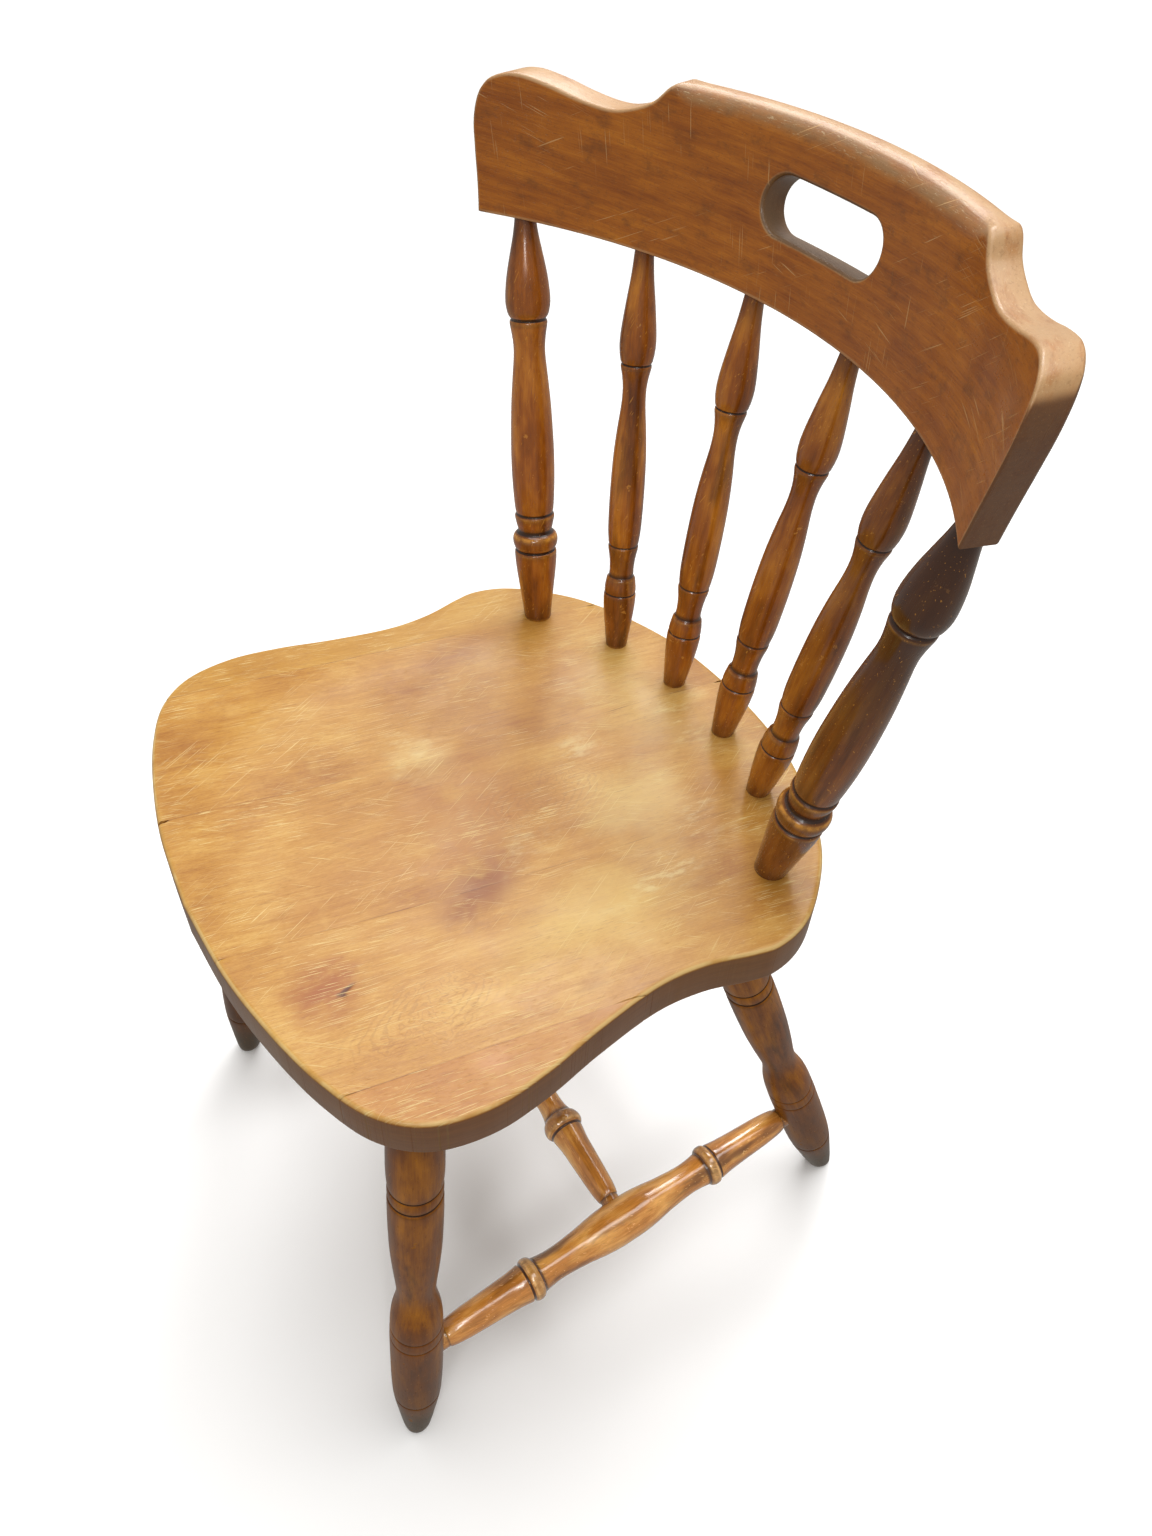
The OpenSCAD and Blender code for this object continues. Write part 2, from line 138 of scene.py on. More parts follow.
CENTRE_H = ([(-3, 7.5), (20, 7.5)]
    + curve([(21, 8.4), (27, 9.5), (36, 10.2), (50, 10.9), (64, 11.5), (73, 12), (83, 13.5)])
    + [(84.2, 13.4), (85, 12.4), (85.8, 13.3)]
    + curve([(86.4, 14.5), (88.5, 15.9), (91, 16.3), (93.5, 16), (96.5, 14.9), (98.6, 13.4)])
    + curve([(99.4, 12.5), (105, 10.9), (112, 10.1), (120, 10.1), (130, 10.9), (142, 12.5), (156, 14.3), (168, 15.1)]))


# ---------------------------------------------------------------- mesh helpers
def add_attr(me, name, values, kind="FLOAT"):
    a = me.attributes.new(name, kind, "POINT")
    values = np.asarray(values, np.float32)
    a.data.foreach_set("value" if kind == "FLOAT" else "vector", values.ravel())


def make_mesh(name, verts, faces, matrix, mat, attrs, nodes, sharp=38.0):
    me = bpy.data.meshes.new(name)
    verts = np.asarray(verts, float)
    attrs = dict(attrs, lp=verts * 1000.0)
    M = np.array(matrix)
    verts = verts @ M[:3, :3].T + M[:3, 3]
    me.from_pydata(verts.tolist(), [], [tuple(int(i) for i in f) for f in faces])
    me.update()
    for k, val in attrs.items():
        add_attr(me, k, val, "FLOAT_VECTOR" if np.ndim(val) == 2 else "FLOAT")
    me.polygons.foreach_set("use_smooth", [True] * len(me.polygons))
    if sharp:
        me.set_sharp_from_angle(angle=rad(sharp))
    ob = bpy.data.objects.new(name, me)
    bpy.context.scene.collection.objects.link(ob)
    me.materials.append(mat)
    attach(ob, "root")
    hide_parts(*nodes)
    return ob


def axis_matrix(a, b):
    v = b - a
    l = np.linalg.norm(v)
    return (Matrix.Translation(Vector(a * MM)) @ Matrix.Rotation(math.atan2(v[1], v[0]), 4, "Z")
            @ Matrix.Rotation(math.acos(v[2] / l), 4, "Y")), l


def refine(pr):
    """the profile resampled finely, its corners softened by about a third of a millimetre"""
    p = np.array(pr, float)
    d = np.concatenate([[0], np.cumsum(np.hypot(*np.diff(p, axis=0).T))])
    n = int(d[-1] / 0.2)
    s = np.linspace(0, d[-1], n)
    q = np.column_stack([np.interp(s, d, p[:, 0]), np.interp(s, d, p[:, 1])])
    k = np.exp(-0.5 * (np.arange(-6, 7) * 0.2 / 0.3) ** 2)
    k /= k.sum()
    e = np.vstack([np.repeat(q[:1], 6, 0), q, np.repeat(q[-1:], 6, 0)])
    q = np.column_stack([np.convolve(e[:, i], k, "valid") for i in (0, 1)])
    keep, last = [0], 0
    ang = np.unwrap(np.arctan2(np.diff(q[:, 1]), np.diff(q[:, 0])))
    for i in range(1, n - 1):
        turn = abs(ang[i] - ang[last])
        if turn > 0.11 or q[i, 0] - q[last, 0] > 4:
            keep.append(i)
            last = i
    keep.append(n - 1)
    return q[keep]


def lathe(name, a, b, pr, length0, mat, node, oid, tenons=(), both=False, floor=False, seg=72, top_shade=0.0):
    M, l = axis_matrix(a, b)
    body = np.array(pr, float)
    if both:
        body = np.vstack([body, [(l - t, r) for t, r in body[::-1]]])
    else:
        body[:, 0] *= l / length0
    body = refine(body)
    rows = [tuple(q) for q in body]
    if tenons and tenons[0]:
        lo, r = tenons[0]
        first = next(i for i, q in enumerate(rows) if q[0] > -2.5)
        rows = [(lo, r - 0.8), (lo + 0.8, r), (-3.2, r)] + rows[first:]
    if len(tenons) > 1 and tenons[1]:
        hi, r = tenons[1]
        rows = [q for q in rows if q[0] < l + 3.5]
        rows += [(l + 3.9, r), (l + hi - 0.8, r), (l + hi, r - 0.8)]
    rows = np.array(rows)
    if floor:
        rows = rows[rows[:, 0] > 3.2]
        rows = np.vstack([[0.0, 8.4], [1.0, 9.5], rows])
    n = len(rows)
    th = np.linspace(0, 2 * math.pi, seg, endpoint=False)
    c, s = np.cos(th), np.sin(th)
    P = np.zeros((n, seg, 3))
    P[:, :, 0] = rows[:, 1][:, None] * c
    P[:, :, 1] = rows[:, 1][:, None] * s
    P[:, :, 2] = rows[:, 0][:, None]
    if floor:
        R = np.array(M.to_3x3())
        for i, lift in ((0, 0.0), (1, 1.0)):
            z = P[i] @ R.T
            P[i, :, 2] += (lift - z[:, 2]) / R[2, 2] if i == 0 else (lift - z[:, 2]) / R[2, 2]
    verts = P.reshape(-1, 3).tolist()
    faces = []
    for i in range(n - 1):
        for j in range(seg):
            k = (j + 1) % seg
            faces.append((i * seg + j, i * seg + k, (i + 1) * seg + k, (i + 1) * seg + j))
    verts.append([0, 0, float(P[0, :, 2].mean())])
    verts.append([0, 0, float(P[-1, :, 2].mean())])
    b0, b1 = n * seg, n * seg + 1
    for j in range(seg):
        k = (j + 1) % seg
        faces.append((b0, k, j))
        faces.append((b1, (n - 1) * seg + j, (n - 1) * seg + k))
    # grooves and beads: how far the surface lies in or out of its own smoothed line
    fine = np.arange(rows[0, 0], rows[-1, 0], 0.25)
    r = np.interp(fine, rows[:, 0], rows[:, 1])
    w = 14
    rp = np.pad(r, w, mode="edge")
    sm = np.convolve(rp, np.ones(2 * w + 1) / (2 * w + 1), "valid")
    dev = np.interp(rows[:, 0], fine, r - sm[: len(r)])
    cav = np.repeat(np.clip(-dev, 0, 3), seg)
    ridge = np.repeat(np.clip(dev, 0, 3), seg)
    attrs = {"cav": np.append(cav, [0, 0]), "ridge": np.append(ridge, [0, 0]),
             "oid": np.full(len(verts), oid), "top_shade": np.full(len(verts), top_shade), "along": np.append(np.repeat(rows[:, 0] / l, seg), [0, 1])}
    verts = np.array(verts) * MM
    return make_mesh(name, verts, faces, M, mat, attrs, [node], sharp=70)


# ---------------------------------------------------------------- node helpers
class Mat:
    def __init__(self, name):
        self.m = bpy.data.materials.new(name)
        self.m.use_nodes = True
        self.t = self.m.node_tree
        self.t.nodes.clear()
        out = self.new("ShaderNodeOutputMaterial")
        self.b = self.new("ShaderNodeBsdfPrincipled")
        self.t.links.new(self.b.outputs[0], out.inputs[0])

    def new(self, kind): return self.t.nodes.new(kind)

    def put(self, sock, v):
        if isinstance(v, bpy.types.NodeSocket):
            self.t.links.new(v, sock)
        elif isinstance(v, (tuple, list)) and len(v) == 3 and sock.type == "RGBA":
            sock.default_value = (*v, 1)
        else:
            sock.default_value = v

    def math(self, op, a, b=0.0, c=0.0, clamp=False):
        n = self.new("ShaderNodeMath")
        n.operation = op
        n.use_clamp = clamp
        for i, v in enumerate((a, b, c)):
            self.put(n.inputs[i], v)
        return n.outputs[0]

    def add(self, *v):
        r = v[0]
        for q in v[1:]:
            r = self.math("ADD", r, q)
        return r

    def mul(self, *v):
        r = v[0]
        for q in v[1:]:
            r = self.math("MULTIPLY", r, q)
        return r

    def coords(self): return self.new("ShaderNodeTexCoord").outputs["Object"]

    def local(self):
        """millimetres in the piece's own frame, stored with its mesh"""
        return self.sep(self.attr("lp", "Vector"))

    def sep(self, v):
        n = self.new("ShaderNodeSeparateXYZ")
        self.put(n.inputs[0], v)
        return n.outputs

    def comb(self, x, y, z=0.0):
        n = self.new("ShaderNodeCombineXYZ")
        for i, v in enumerate((x, y, z)):
            self.put(n.inputs[i], v)
        return n.outputs[0]

    def attr(self, name, which="Fac"):
        n = self.new("ShaderNodeAttribute")
        n.attribute_name = name
        return n.outputs[which]

    def noise(self, vec, detail=3.0, rough=0.5, dist=0.0, scale=1.0):
        n = self.new("ShaderNodeTexNoise")
        self.put(n.inputs["Vector"], vec)
        n.inputs["Scale"].default_value = scale
        n.inputs["Detail"].default_value = detail
        n.inputs["Roughness"].default_value = rough
        n.inputs["Distortion"].default_value = dist
        return n.outputs["Fac"]

    def rng(self, v, a, b, c=0.0, d=1.0, smooth=True):
        n = self.new("ShaderNodeMapRange")
        n.interpolation_type = "SMOOTHSTEP" if smooth else "LINEAR"
        self.put(n.inputs[0], v)
        for i, q in enumerate((a, b, c, d)):
            n.inputs[i + 1].default_value = q
        return n.outputs[0]

    def mix(self, f, a, b, mode="MIX"):
        n = self.new("ShaderNodeMix")
        n.data_type = "RGBA"
        n.blend_type = mode
        n.clamp_factor = True
        self.put(n.inputs["Factor"], f)
        self.put(n.inputs[6], a)
        self.put(n.inputs[7], b)
        return n.outputs[2]

    def ramp(self, f, stops):
        n = self.new("ShaderNodeValToRGB")
        self.put(n.inputs[0], f)
        e = n.color_ramp.elements
        while len(e) < len(stops):
            e.new(0.5)
        for i, (p, c) in enumerate(stops):
            e[i].position = p
            e[i].color = (*c, 1)
        return n.outputs[0]

    def bump(self, h, strength, dist, normal=None):
        n = self.new("ShaderNodeBump")
        n.inputs["Strength"].default_value = strength
        n.inputs["Distance"].default_value = dist
        self.put(n.inputs["Height"], h)
        if normal is not None:
            self.put(n.inputs["Normal"], normal)
        return n.outputs[0]

    def spot(self, x, y, cx, cy, rx, ry, turn=0.0, soft=1.0):
        """a soft oval patch, 1 at its centre"""
        c, s = math.cos(rad(turn)), math.sin(rad(turn))
        dx, dy = self.math("SUBTRACT", x, cx), self.math("SUBTRACT", y, cy)
        u = self.add(self.mul(dx, c / rx), self.mul(dy, s / rx))
        v = self.add(self.mul(dx, -s / ry), self.mul(dy, c / ry))
        d = self.math("SQRT", self.add(self.mul(u, u), self.mul(v, v)))
        return self.rng(d, 1.0, 1.0 - soft, 0, 1)


def srgb(r, g, b):
    def f(v):
        v /= 255.0
        return v / 12.92 if v <= 0.04045 else ((v + 0.055) / 1.055) ** 2.4
    return (f(r), f(g), f(b))


def hairs(m, a, b, oid, angle, thin, long, low, high):
    """fine straight hairs: very stretched noise, turned by an angle"""
    c, s = math.cos(rad(angle)), math.sin(rad(angle))
    u = m.add(m.mul(a, c), m.mul(b, s))
    v = m.add(m.mul(b, c), m.mul(a, -s))
    n = m.noise(m.comb(m.mul(u, 1 / thin), m.mul(v, 1 / long), m.mul(oid, 7.3)), 1.0, 0.4)
    gate = m.noise(m.comb(m.mul(u, 0.02), m.mul(v, 0.012), m.add(oid, angle * 0.1)), 1.0)
    return m.mul(m.rng(n, low, high), m.rng(gate, 0.48, 0.62))


# ---------------------------------------------------------------- wood of the seat
def seat_wood(gain):
    m = Mat("seat_honey_wood")
    x, y, z = m.local()
    oid = m.attr("oid")
    ed = m.attr("ed")
    a = m.math("SUBTRACT", x, m.mul(y, 0.14))          # across the boards
    b = m.add(y, m.mul(x, 0.14))                        # along the grain
    zz = m.mul(z, 0.06)
    wob = m.noise(m.comb(m.mul(a, 0.011), m.mul(b, 0.0045), oid), 2.0)
    ring_d = m.add(a, m.mul(m.math("SUBTRACT", wob, 0.5), 95.0), m.mul(oid, 31.0), m.mul(z, 0.8))
    ring = m.math("SINE", m.mul(ring_d, 0.95))
    fine_ring = m.math("SINE", m.mul(m.add(ring_d, m.mul(wob, 20.0)), 2.6))
    streak = m.noise(m.comb(m.mul(a, 0.16), m.mul(b, 0.009), m.add(oid, zz)), 4.0, 0.6)
    fibre = m.noise(m.comb(m.mul(a, 1.5), m.mul(b, 0.05), m.add(oid, zz)), 3.0, 0.6)
    blot = m.noise(m.comb(m.mul(a, 0.02), m.mul(b, 0.014), m.mul(oid, 3.0)), 3.0, 0.55)
    pores = m.noise(m.comb(m.mul(a, 1.9), m.mul(b, 0.16), m.mul(oid, 5.0)), 2.0, 0.5)
    pore = m.rng(pores, 0.62, 0.70)
    grainy = m.noise(m.comb(m.mul(a, 0.9), m.mul(b, 0.35), m.mul(oid, 1.7)), 4.0, 0.7)
    tone = m.add(m.mul(streak, 0.30), m.mul(blot, 0.80), m.mul(ring, 0.022), m.mul(fine_ring, 0.014),
                 m.mul(m.math("SUBTRACT", fibre, 0.5), 0.42), m.mul(m.math("SUBTRACT", grainy, 0.5), 0.34))
    col = m.ramp(tone, [(0.30, srgb(176, 112, 46)), (0.46, srgb(196, 136, 64)), (0.58, srgb(208, 150, 76)),
                        (0.74, srgb(224, 174, 104))])
    # each board keeps its own tint
    board = m.attr("board")
    col = m.mix(m.rng(board, 4.5, 4.6), col, m.mix(0.35, col, srgb(190, 112, 44)))
    col = m.mix(m.mul(m.rng(board, 1.5, 1.4), 0.3), col, srgb(208, 158, 76))
    # stains, knot and places of wear; pale patches of painted sheen, partly bleached wood
    warp = m.noise(m.comb(m.mul(x, 0.03), m.mul(y, 0.02), 6.0), 4.0, 0.65)
    xs, ys = m.add(x, m.mul(m.math("SUBTRACT", warp, 0.5), 60.0)), m.add(y, m.mul(m.math("SUBTRACT", warp, 0.5), -70.0))
    col = m.mix(m.mul(m.spot(xs, ys, 70, -60, 24, 46, 18), 0.95), col, srgb(150, 78, 8))
    col = m.mix(m.mul(m.spot(xs, ys, 14, -48, 72, 92, 10), 0.5), col, srgb(178, 102, 30))
    col = m.mix(m.mul(m.spot(xs, ys, 40, -150, 60, 60, 10), 0.22), col, srgb(174, 100, 40))
    col = m.mix(m.mul(m.spot(xs, ys, 98, -176, 30, 30, 20), 0.75), col, srgb(164, 78, 38))
    # flame figure where the board was cut across its rings
    for (cx, cy, rx, ry, turn, period) in ((24, 8, 44, 80, 8, 0.30), (138, -128, 30, 70, 6, 0.36)):
        c_, s_ = math.cos(rad(turn)), math.sin(rad(turn))
        dx, dy = m.math("SUBTRACT", xs, cx), m.math("SUBTRACT", ys, cy)
        u_ = m.mul(m.add(m.mul(dx, c_), m.mul(dy, s_)), 1.0)
        v_ = m.mul(m.add(m.mul(dy, c_), m.mul(dx, -s_)), rx / ry)
        r_ = m.math("SQRT", m.add(m.mul(u_, u_), m.mul(v_, v_), 1.0))
        rings = m.rng(m.math("SINE", m.mul(r_, 6.283 * period)), 0.2, 0.95)
        col = m.mix(m.mul(rings, m.rng(r_, rx * 1.0, rx * 0.4), m.rng(grainy, 0.3, 0.6), 0.36), col, srgb(150, 88, 34))
    # pale patches: painted sheen of the light behind the chair on the lacquer, partly bleached wood
    col = m.mix(m.mul(m.spot(xs, ys, -50, -50, 34, 24, 30), 0.6), col, srgb(232, 196, 146))
    col = m.mix(m.mul(m.spot(xs, ys, 125, -5, 48, 100, 8), 0.7), col, srgb(236, 198, 130))
    col = m.mix(m.mul(m.spot(xs, ys, 60, 60, 56, 50, 0), 0.6), col, srgb(238, 204, 150))
    col = m.mix(m.mul(m.spot(xs, ys, -20, 120, 90, 46, 0), 0.55), col, srgb(236, 198, 140))
    col = m.mix(m.mul(m.spot(x, y, 185, -115, 12, 16, 0), 0.5), col, srgb(222, 160, 130))
    # whitish patches: painted reflections of the light on the lacquer, broken up by noise
    sheen_breakup = m.rng(m.noise(m.comb(m.mul(a, 0.10), m.mul(b, 0.03), 17.0), 5.0, 0.75), 0.48, 0.66)
    for (cx, cy, rx, ry, turn) in ((-64, -48, 30, 34, 20), (96, 84, 34, 30, 0), (60, -20, 20, 34, 10), (10, 132, 56, 26, 0),
                                   (120, 40, 24, 60, 6), (-8, 60, 26, 40, 10)):
        col = m.mix(m.mul(m.spot(xs, ys, cx, cy, rx, ry, turn), sheen_breakup, 0.62), col, srgb(248, 226, 190))
    col = m.mix(m.mul(m.spot(xs, ys, -120, -130, 60, 50, 0), 0.3), col, srgb(214, 158, 70))
    wear = m.rng(m.noise(m.comb(m.mul(x, 0.03), m.mul(y, 0.03), 2.0), 4.0, 0.65), 0.54, 0.74)
    col = m.mix(m.mul(wear, 0.4), col, srgb(226, 178, 112))
    smudge = m.rng(m.noise(m.comb(m.mul(a, 0.05), m.mul(b, 0.02), 9.0), 4.0, 0.6), 0.58, 0.75)
    col = m.mix(m.mul(smudge, 0.34), col, srgb(156, 92, 40))
    dpore = m.rng(m.noise(m.comb(m.mul(a, 1.3), m.mul(b, 0.075), m.add(oid, 21.0)), 3.0, 0.7), 0.56, 0.68)
    dz = m.rng(m.noise(m.comb(m.mul(a, 0.03), m.mul(b, 0.012), m.add(oid, 7.7)), 3.0, 0.6), 0.4, 0.6)
    col = m.mix(m.mul(dpore, dz, 0.42), col, srgb(146, 80, 30))
    col = m.mix(m.mul(pore, 0.34), col, srgb(142, 84, 36))
    knot = m.math("MAXIMUM", m.spot(x, y, 104.5, -165, 2.2, 9.5, 20, 0.8), m.spot(x, y, 106.5, -168, 2.4, 4.5, -30, 0.8))
    col = m.mix(m.mul(knot, 0.9), col, srgb(86, 32, 16))
    dent = m.mul(m.spot(x, y, 191, -16, 1.8, 3.6, 10, 0.6), m.rng(ed, 5.0, 2.0))
    col = m.mix(m.mul(dent, 0.8), col, srgb(96, 50, 20))
    # open joints between the boards
    seam = 0.0
    for j in (-160.0, -40.0, 81.0, 192.0):
        d = m.math("ABSOLUTE", m.math("SUBTRACT", a, j))
        seam = m.math("MAXIMUM", seam, m.rng(d, 0.55, 0.12))
    gate = m.rng(m.noise(m.comb(m.mul(x, 0.05), m.mul(y, 0.03), 4.0), 2.0), 0.38, 0.66, 0.05, 0.6)
    nz = m.sep(m.new("ShaderNodeNewGeometry").outputs["Normal"])[2]
    gate = m.mul(gate, m.rng(nz, 0.3, 0.95, 0.3, 1.0))
    col = m.mix(m.mul(seam, gate), col, srgb(120, 66, 26))
    # scratches
    sc1 = hairs(m, a, b, oid, 2, 0.5, 26, 0.66, 0.70)
    sc2 = hairs(m, a, b, m.add(oid, 3.1), 38, 0.5, 40, 0.70, 0.75)
    sc3 = hairs(m, a, b, m.add(oid, 5.7), -27, 0.5, 34, 0.70, 0.75)
    sc4 = hairs(m, a, b, m.add(oid, 9.1), -3, 0.5, 18, 0.66, 0.70)
    sc = m.math("MAXIMUM", m.math("MAXIMUM", sc1, sc4), m.math("MAXIMUM", sc2, sc3))
    tick = m.rng(m.noise(m.comb(m.mul(a, 1.1), m.mul(b, 0.09), m.add(oid, 13.0)), 3.0, 0.7), 0.60, 0.70)
    tickz = m.rng(m.noise(m.comb(m.mul(a, 0.022), m.mul(b, 0.014), m.add(oid, 3.3)), 3.0, 0.6), 0.45, 0.62)
    col = m.mix(m.mul(tick, tickz, 0.6), col, srgb(244, 212, 162))
    col = m.mix(m.mul(sc, 0.8), col, srgb(250, 224, 182))
    # lighter arris: painted highlight along the top edge, partly wear; browner side
    nz = m.sep(m.new("ShaderNodeNewGeometry").outputs["Normal"])[2]
    side = m.rng(nz, 0.55, 0.15)
    arris = m.mul(m.rng(ed, 5.0, 1.0), m.rng(nz, 0.2, 0.75),
                  m.rng(m.noise(m.comb(m.mul(x, 0.06), m.mul(y, 0.06), 1.0), 4.0, 0.6), 0.3, 0.7, 0.2, 1.0))
    col = m.mix(m.mul(arris, 0.5), col, srgb(232, 184, 122))
    # a thin painted highlight line along the top arris
    edge = m.mul(m.rng(ed, 2.6, 1.4), m.rng(ed, 0.1, 0.6), m.rng(nz, 0.3, 0.6))
    col = m.mix(m.mul(edge, m.rng(warp, 0.42, 0.56, 0.1, 0.55)), col, srgb(250, 220, 176))
    sidecol = m.mix(m.noise(m.comb(m.mul(a, 0.08), m.mul(b, 0.02), m.mul(z, 0.5)), 4.0, 0.6),
                    srgb(92, 50, 20), srgb(150, 92, 44))
    col = m.mix(m.mul(side, 0.88), col, sidecol)
    m.put(m.b.inputs["Base Color"], m.mix(1.0, col, gain, "MULTIPLY"))
    rough = m.add(m.mul(m.noise(m.comb(m.mul(x, 0.04), m.mul(y, 0.04), 3.0), 4.0, 0.6), 0.3), 0.22,
                  m.mul(sc, 0.2), m.mul(pore, 0.15), m.mul(wear, 0.08))
    m.put(m.b.inputs["Roughness"], rough)
    m.b.inputs["Specular IOR Level"].default_value = 0.4
    m.b.inputs["Coat Weight"].default_value = 0.1
    m.b.inputs["Coat Roughness"].default_value = 0.22
    broad = m.noise(m.comb(m.mul(a, 0.03), m.mul(b, 0.012), oid), 2.0)
    n = m.bump(broad, 0.35, 0.0016)
    n = m.bump(m.add(m.mul(fibre, 0.4), m.mul(pore, -0.5), m.mul(sc, -0.7), m.mul(seam, gate, -0.8),
                     m.mul(knot, -1.0), m.mul(streak, 0.25)), 0.32, 0.0005, n)
    m.put(m.b.inputs["Normal"], n)
    return m.m


# ---------------------------------------------------------------- wood of the crest rail
def crest_wood(gain):
    m = Mat("crest_brown_wood")
    s, w, dep = m.sep(m.attr("gc", "Vector"))
    ed = m.attr("ed")
    nz = m.sep(m.new("ShaderNodeNewGeometry").outputs["Normal"])[2]
    wob = m.noise(m.comb(m.mul(s, 0.005), m.mul(w, 0.016), m.mul(dep, 0.03)), 2.0)
    ring_d = m.add(w, m.mul(wob, 60.0), m.mul(dep, 0.7))
    ring = m.math("SINE", m.mul(ring_d, 0.8))
    streak = m.noise(m.comb(m.mul(s, 0.008), m.mul(w, 0.14), m.mul(dep, 0.15)), 4.0, 0.6)
    fibre = m.noise(m.comb(m.mul(s, 0.06), m.mul(w, 1.3), m.mul(dep, 1.3)), 3.0, 0.6)
    blot = m.noise(m.comb(m.mul(s, 0.016), m.mul(w, 0.03), m.mul(dep, 0.03)), 3.0, 0.55)
    fleck = m.rng(m.noise(m.comb(m.mul(s, 0.2), m.mul(w, 1.5), m.mul(dep, 1.2)), 2.0, 0.5), 0.62, 0.7)
    tone = m.add(m.mul(streak, 0.45), m.mul(blot, 0.5), m.mul(ring, 0.03),
                 m.mul(m.math("SUBTRACT", fibre, 0.5), 0.36))
    col = m.ramp(tone, [(0.28, srgb(118, 62, 22)), (0.44, srgb(142, 82, 32)), (0.56, srgb(158, 96, 42)),
                        (0.72, srgb(178, 116, 60))])
    col = m.mix(m.mul(fleck, 0.4), col, srgb(92, 50, 20))
    col = m.mix(1.0, col, gain, "MULTIPLY")
    mott = m.rng(m.noise(m.comb(m.mul(s, 0.05), m.mul(w, 0.09), m.mul(dep, 0.1)), 4.0, 0.7), 0.5, 0.72)
    col = m.mix(m.mul(mott, 0.5), col, (0.12, 0.038, 0.006))
    # top-facing faces are painted paler as if lit from above, partly handling wear; the underside is painted darker as
    # shade; end grain is darker
    up = m.rng(nz, 0.22, 0.62)
    wear_and_light_noise = m.noise(m.comb(m.mul(s, 0.03), m.mul(w, 0.06), m.mul(dep, 0.12)), 5.0, 0.65)
    col = m.mix(m.mul(up, m.rng(wear_and_light_noise, 0.3, 0.66, 0.35, 0.9)), col, (0.24, 0.135, 0.056))
    crack = m.rng(m.noise(m.comb(m.mul(s, 0.16), m.mul(w, 0.9), m.mul(dep, 0.9)), 4.0, 0.75), 0.58, 0.66)
    col = m.mix(m.mul(crack, up, 0.7), col, (0.50, 0.36, 0.20))
    down = m.rng(nz, -0.3, -0.8)
    col = m.mix(m.mul(down, 0.6), col, (0.10, 0.035, 0.008))
    # paler arris: rubbed wear, partly a painted highlight
    arris = m.mul(m.rng(ed, 2.4, 1.0), m.rng(wear_and_light_noise, 0.3, 0.55, 0.35, 1.0))
    col = m.mix(m.mul(arris, 0.6), col, (0.56, 0.34, 0.16))
    ends = m.mul(m.rng(m.math("ABSOLUTE", s), 232, 240), m.rng(ed, 1.6, 0.6), m.rng(nz, 0.55, 0.25))
    grit = m.noise(m.comb(m.mul(s, 0.9), m.mul(w, 0.9), m.mul(dep, 0.5)), 3.0)
    col = m.mix(m.mul(ends, 0.85), col, m.mix(grit, (0.045, 0.011, 0.002), (0.11, 0.036, 0.007)))
    # inside of the hand slot: painted shade in the recess
    inslot = m.mul(m.spot(s, w, 0, 56, 54, 24, 0, 0.05), m.rng(ed, 2.0, 1.0))
    col = m.mix(m.mul(inslot, 0.85), col, m.mix(wear_and_light_noise, (0.07, 0.030, 0.010), (0.13, 0.072, 0.032)))
    # chips and scratches
    chip = m.math("MAXIMUM", m.spot(s, w, -141, 82, 4.2, 2.6, -25, 0.5), m.spot(s, w, -160, 78, 1.8, 1.2, 0, 0.6))
    col = m.mix(m.mul(chip, 0.9), col, srgb(206, 150, 84))
    z0 = m.mul(m.add(s, 0.0), 1.0)
    sc1 = hairs(m, w, z0, m.add(1.7, 0.0), 12, 0.8, 38, 0.69, 0.75)
    sc2 = hairs(m, w, z0, m.add(4.2, 0.0), -31, 0.8, 34, 0.70, 0.76)
    sc3 = hairs(m, w, z0, m.add(8.8, 0.0), 72, 0.8, 30, 0.70, 0.76)
    sc = m.math("MAXIMUM", sc1, m.math("MAXIMUM", sc2, sc3))
    tick = m.rng(m.noise(m.comb(m.mul(s, 0.10), m.mul(w, 1.1), m.mul(dep, 1.1)), 3.0, 0.7), 0.62, 0.70)
    col = m.mix(m.mul(tick, 0.22), col, (0.55, 0.30, 0.11))
    dash = m.rng(m.noise(m.comb(m.mul(s, 0.45), m.mul(w, 0.35), m.mul(dep, 0.5)), 4.0, 0.75), 0.56, 0.66)
    col = m.mix(m.mul(dash, 0.28), col, (0.13, 0.045, 0.008))
    sc = m.mul(sc, m.rng(ed, 0.3, 1.2))
    col = m.mix(m.mul(sc, 0.6), col, (0.60, 0.36, 0.15))
    m.put(m.b.inputs["Base Color"], col)
    rough = m.add(m.mul(m.noise(m.comb(m.mul(s, 0.05), m.mul(w, 0.05), dep), 4.0, 0.6), 0.28), 0.18, m.mul(up, 0.16),
                  m.mul(sc, 0.2), m.mul(fleck, 0.12))
    m.put(m.b.inputs["Roughness"], rough)
    m.b.inputs["Specular IOR Level"].default_value = 0.4
    m.b.inputs["Coat Weight"].default_value = 0.2
    m.b.inputs["Coat Roughness"].default_value = 0.16
    n = m.bump(m.noise(m.comb(m.mul(s, 0.02), m.mul(w, 0.04), m.mul(dep, 0.04)), 2.0), 0.3, 0.0014)
    n = m.bump(m.add(m.mul(fibre, 0.4), m.mul(fleck, -0.5), m.mul(sc, -0.7), m.mul(chip, -1.2),
                     m.mul(streak, 0.25)), 0.3, 0.0005, n)
    m.put(m.b.inputs["Normal"], n)
    return m.m


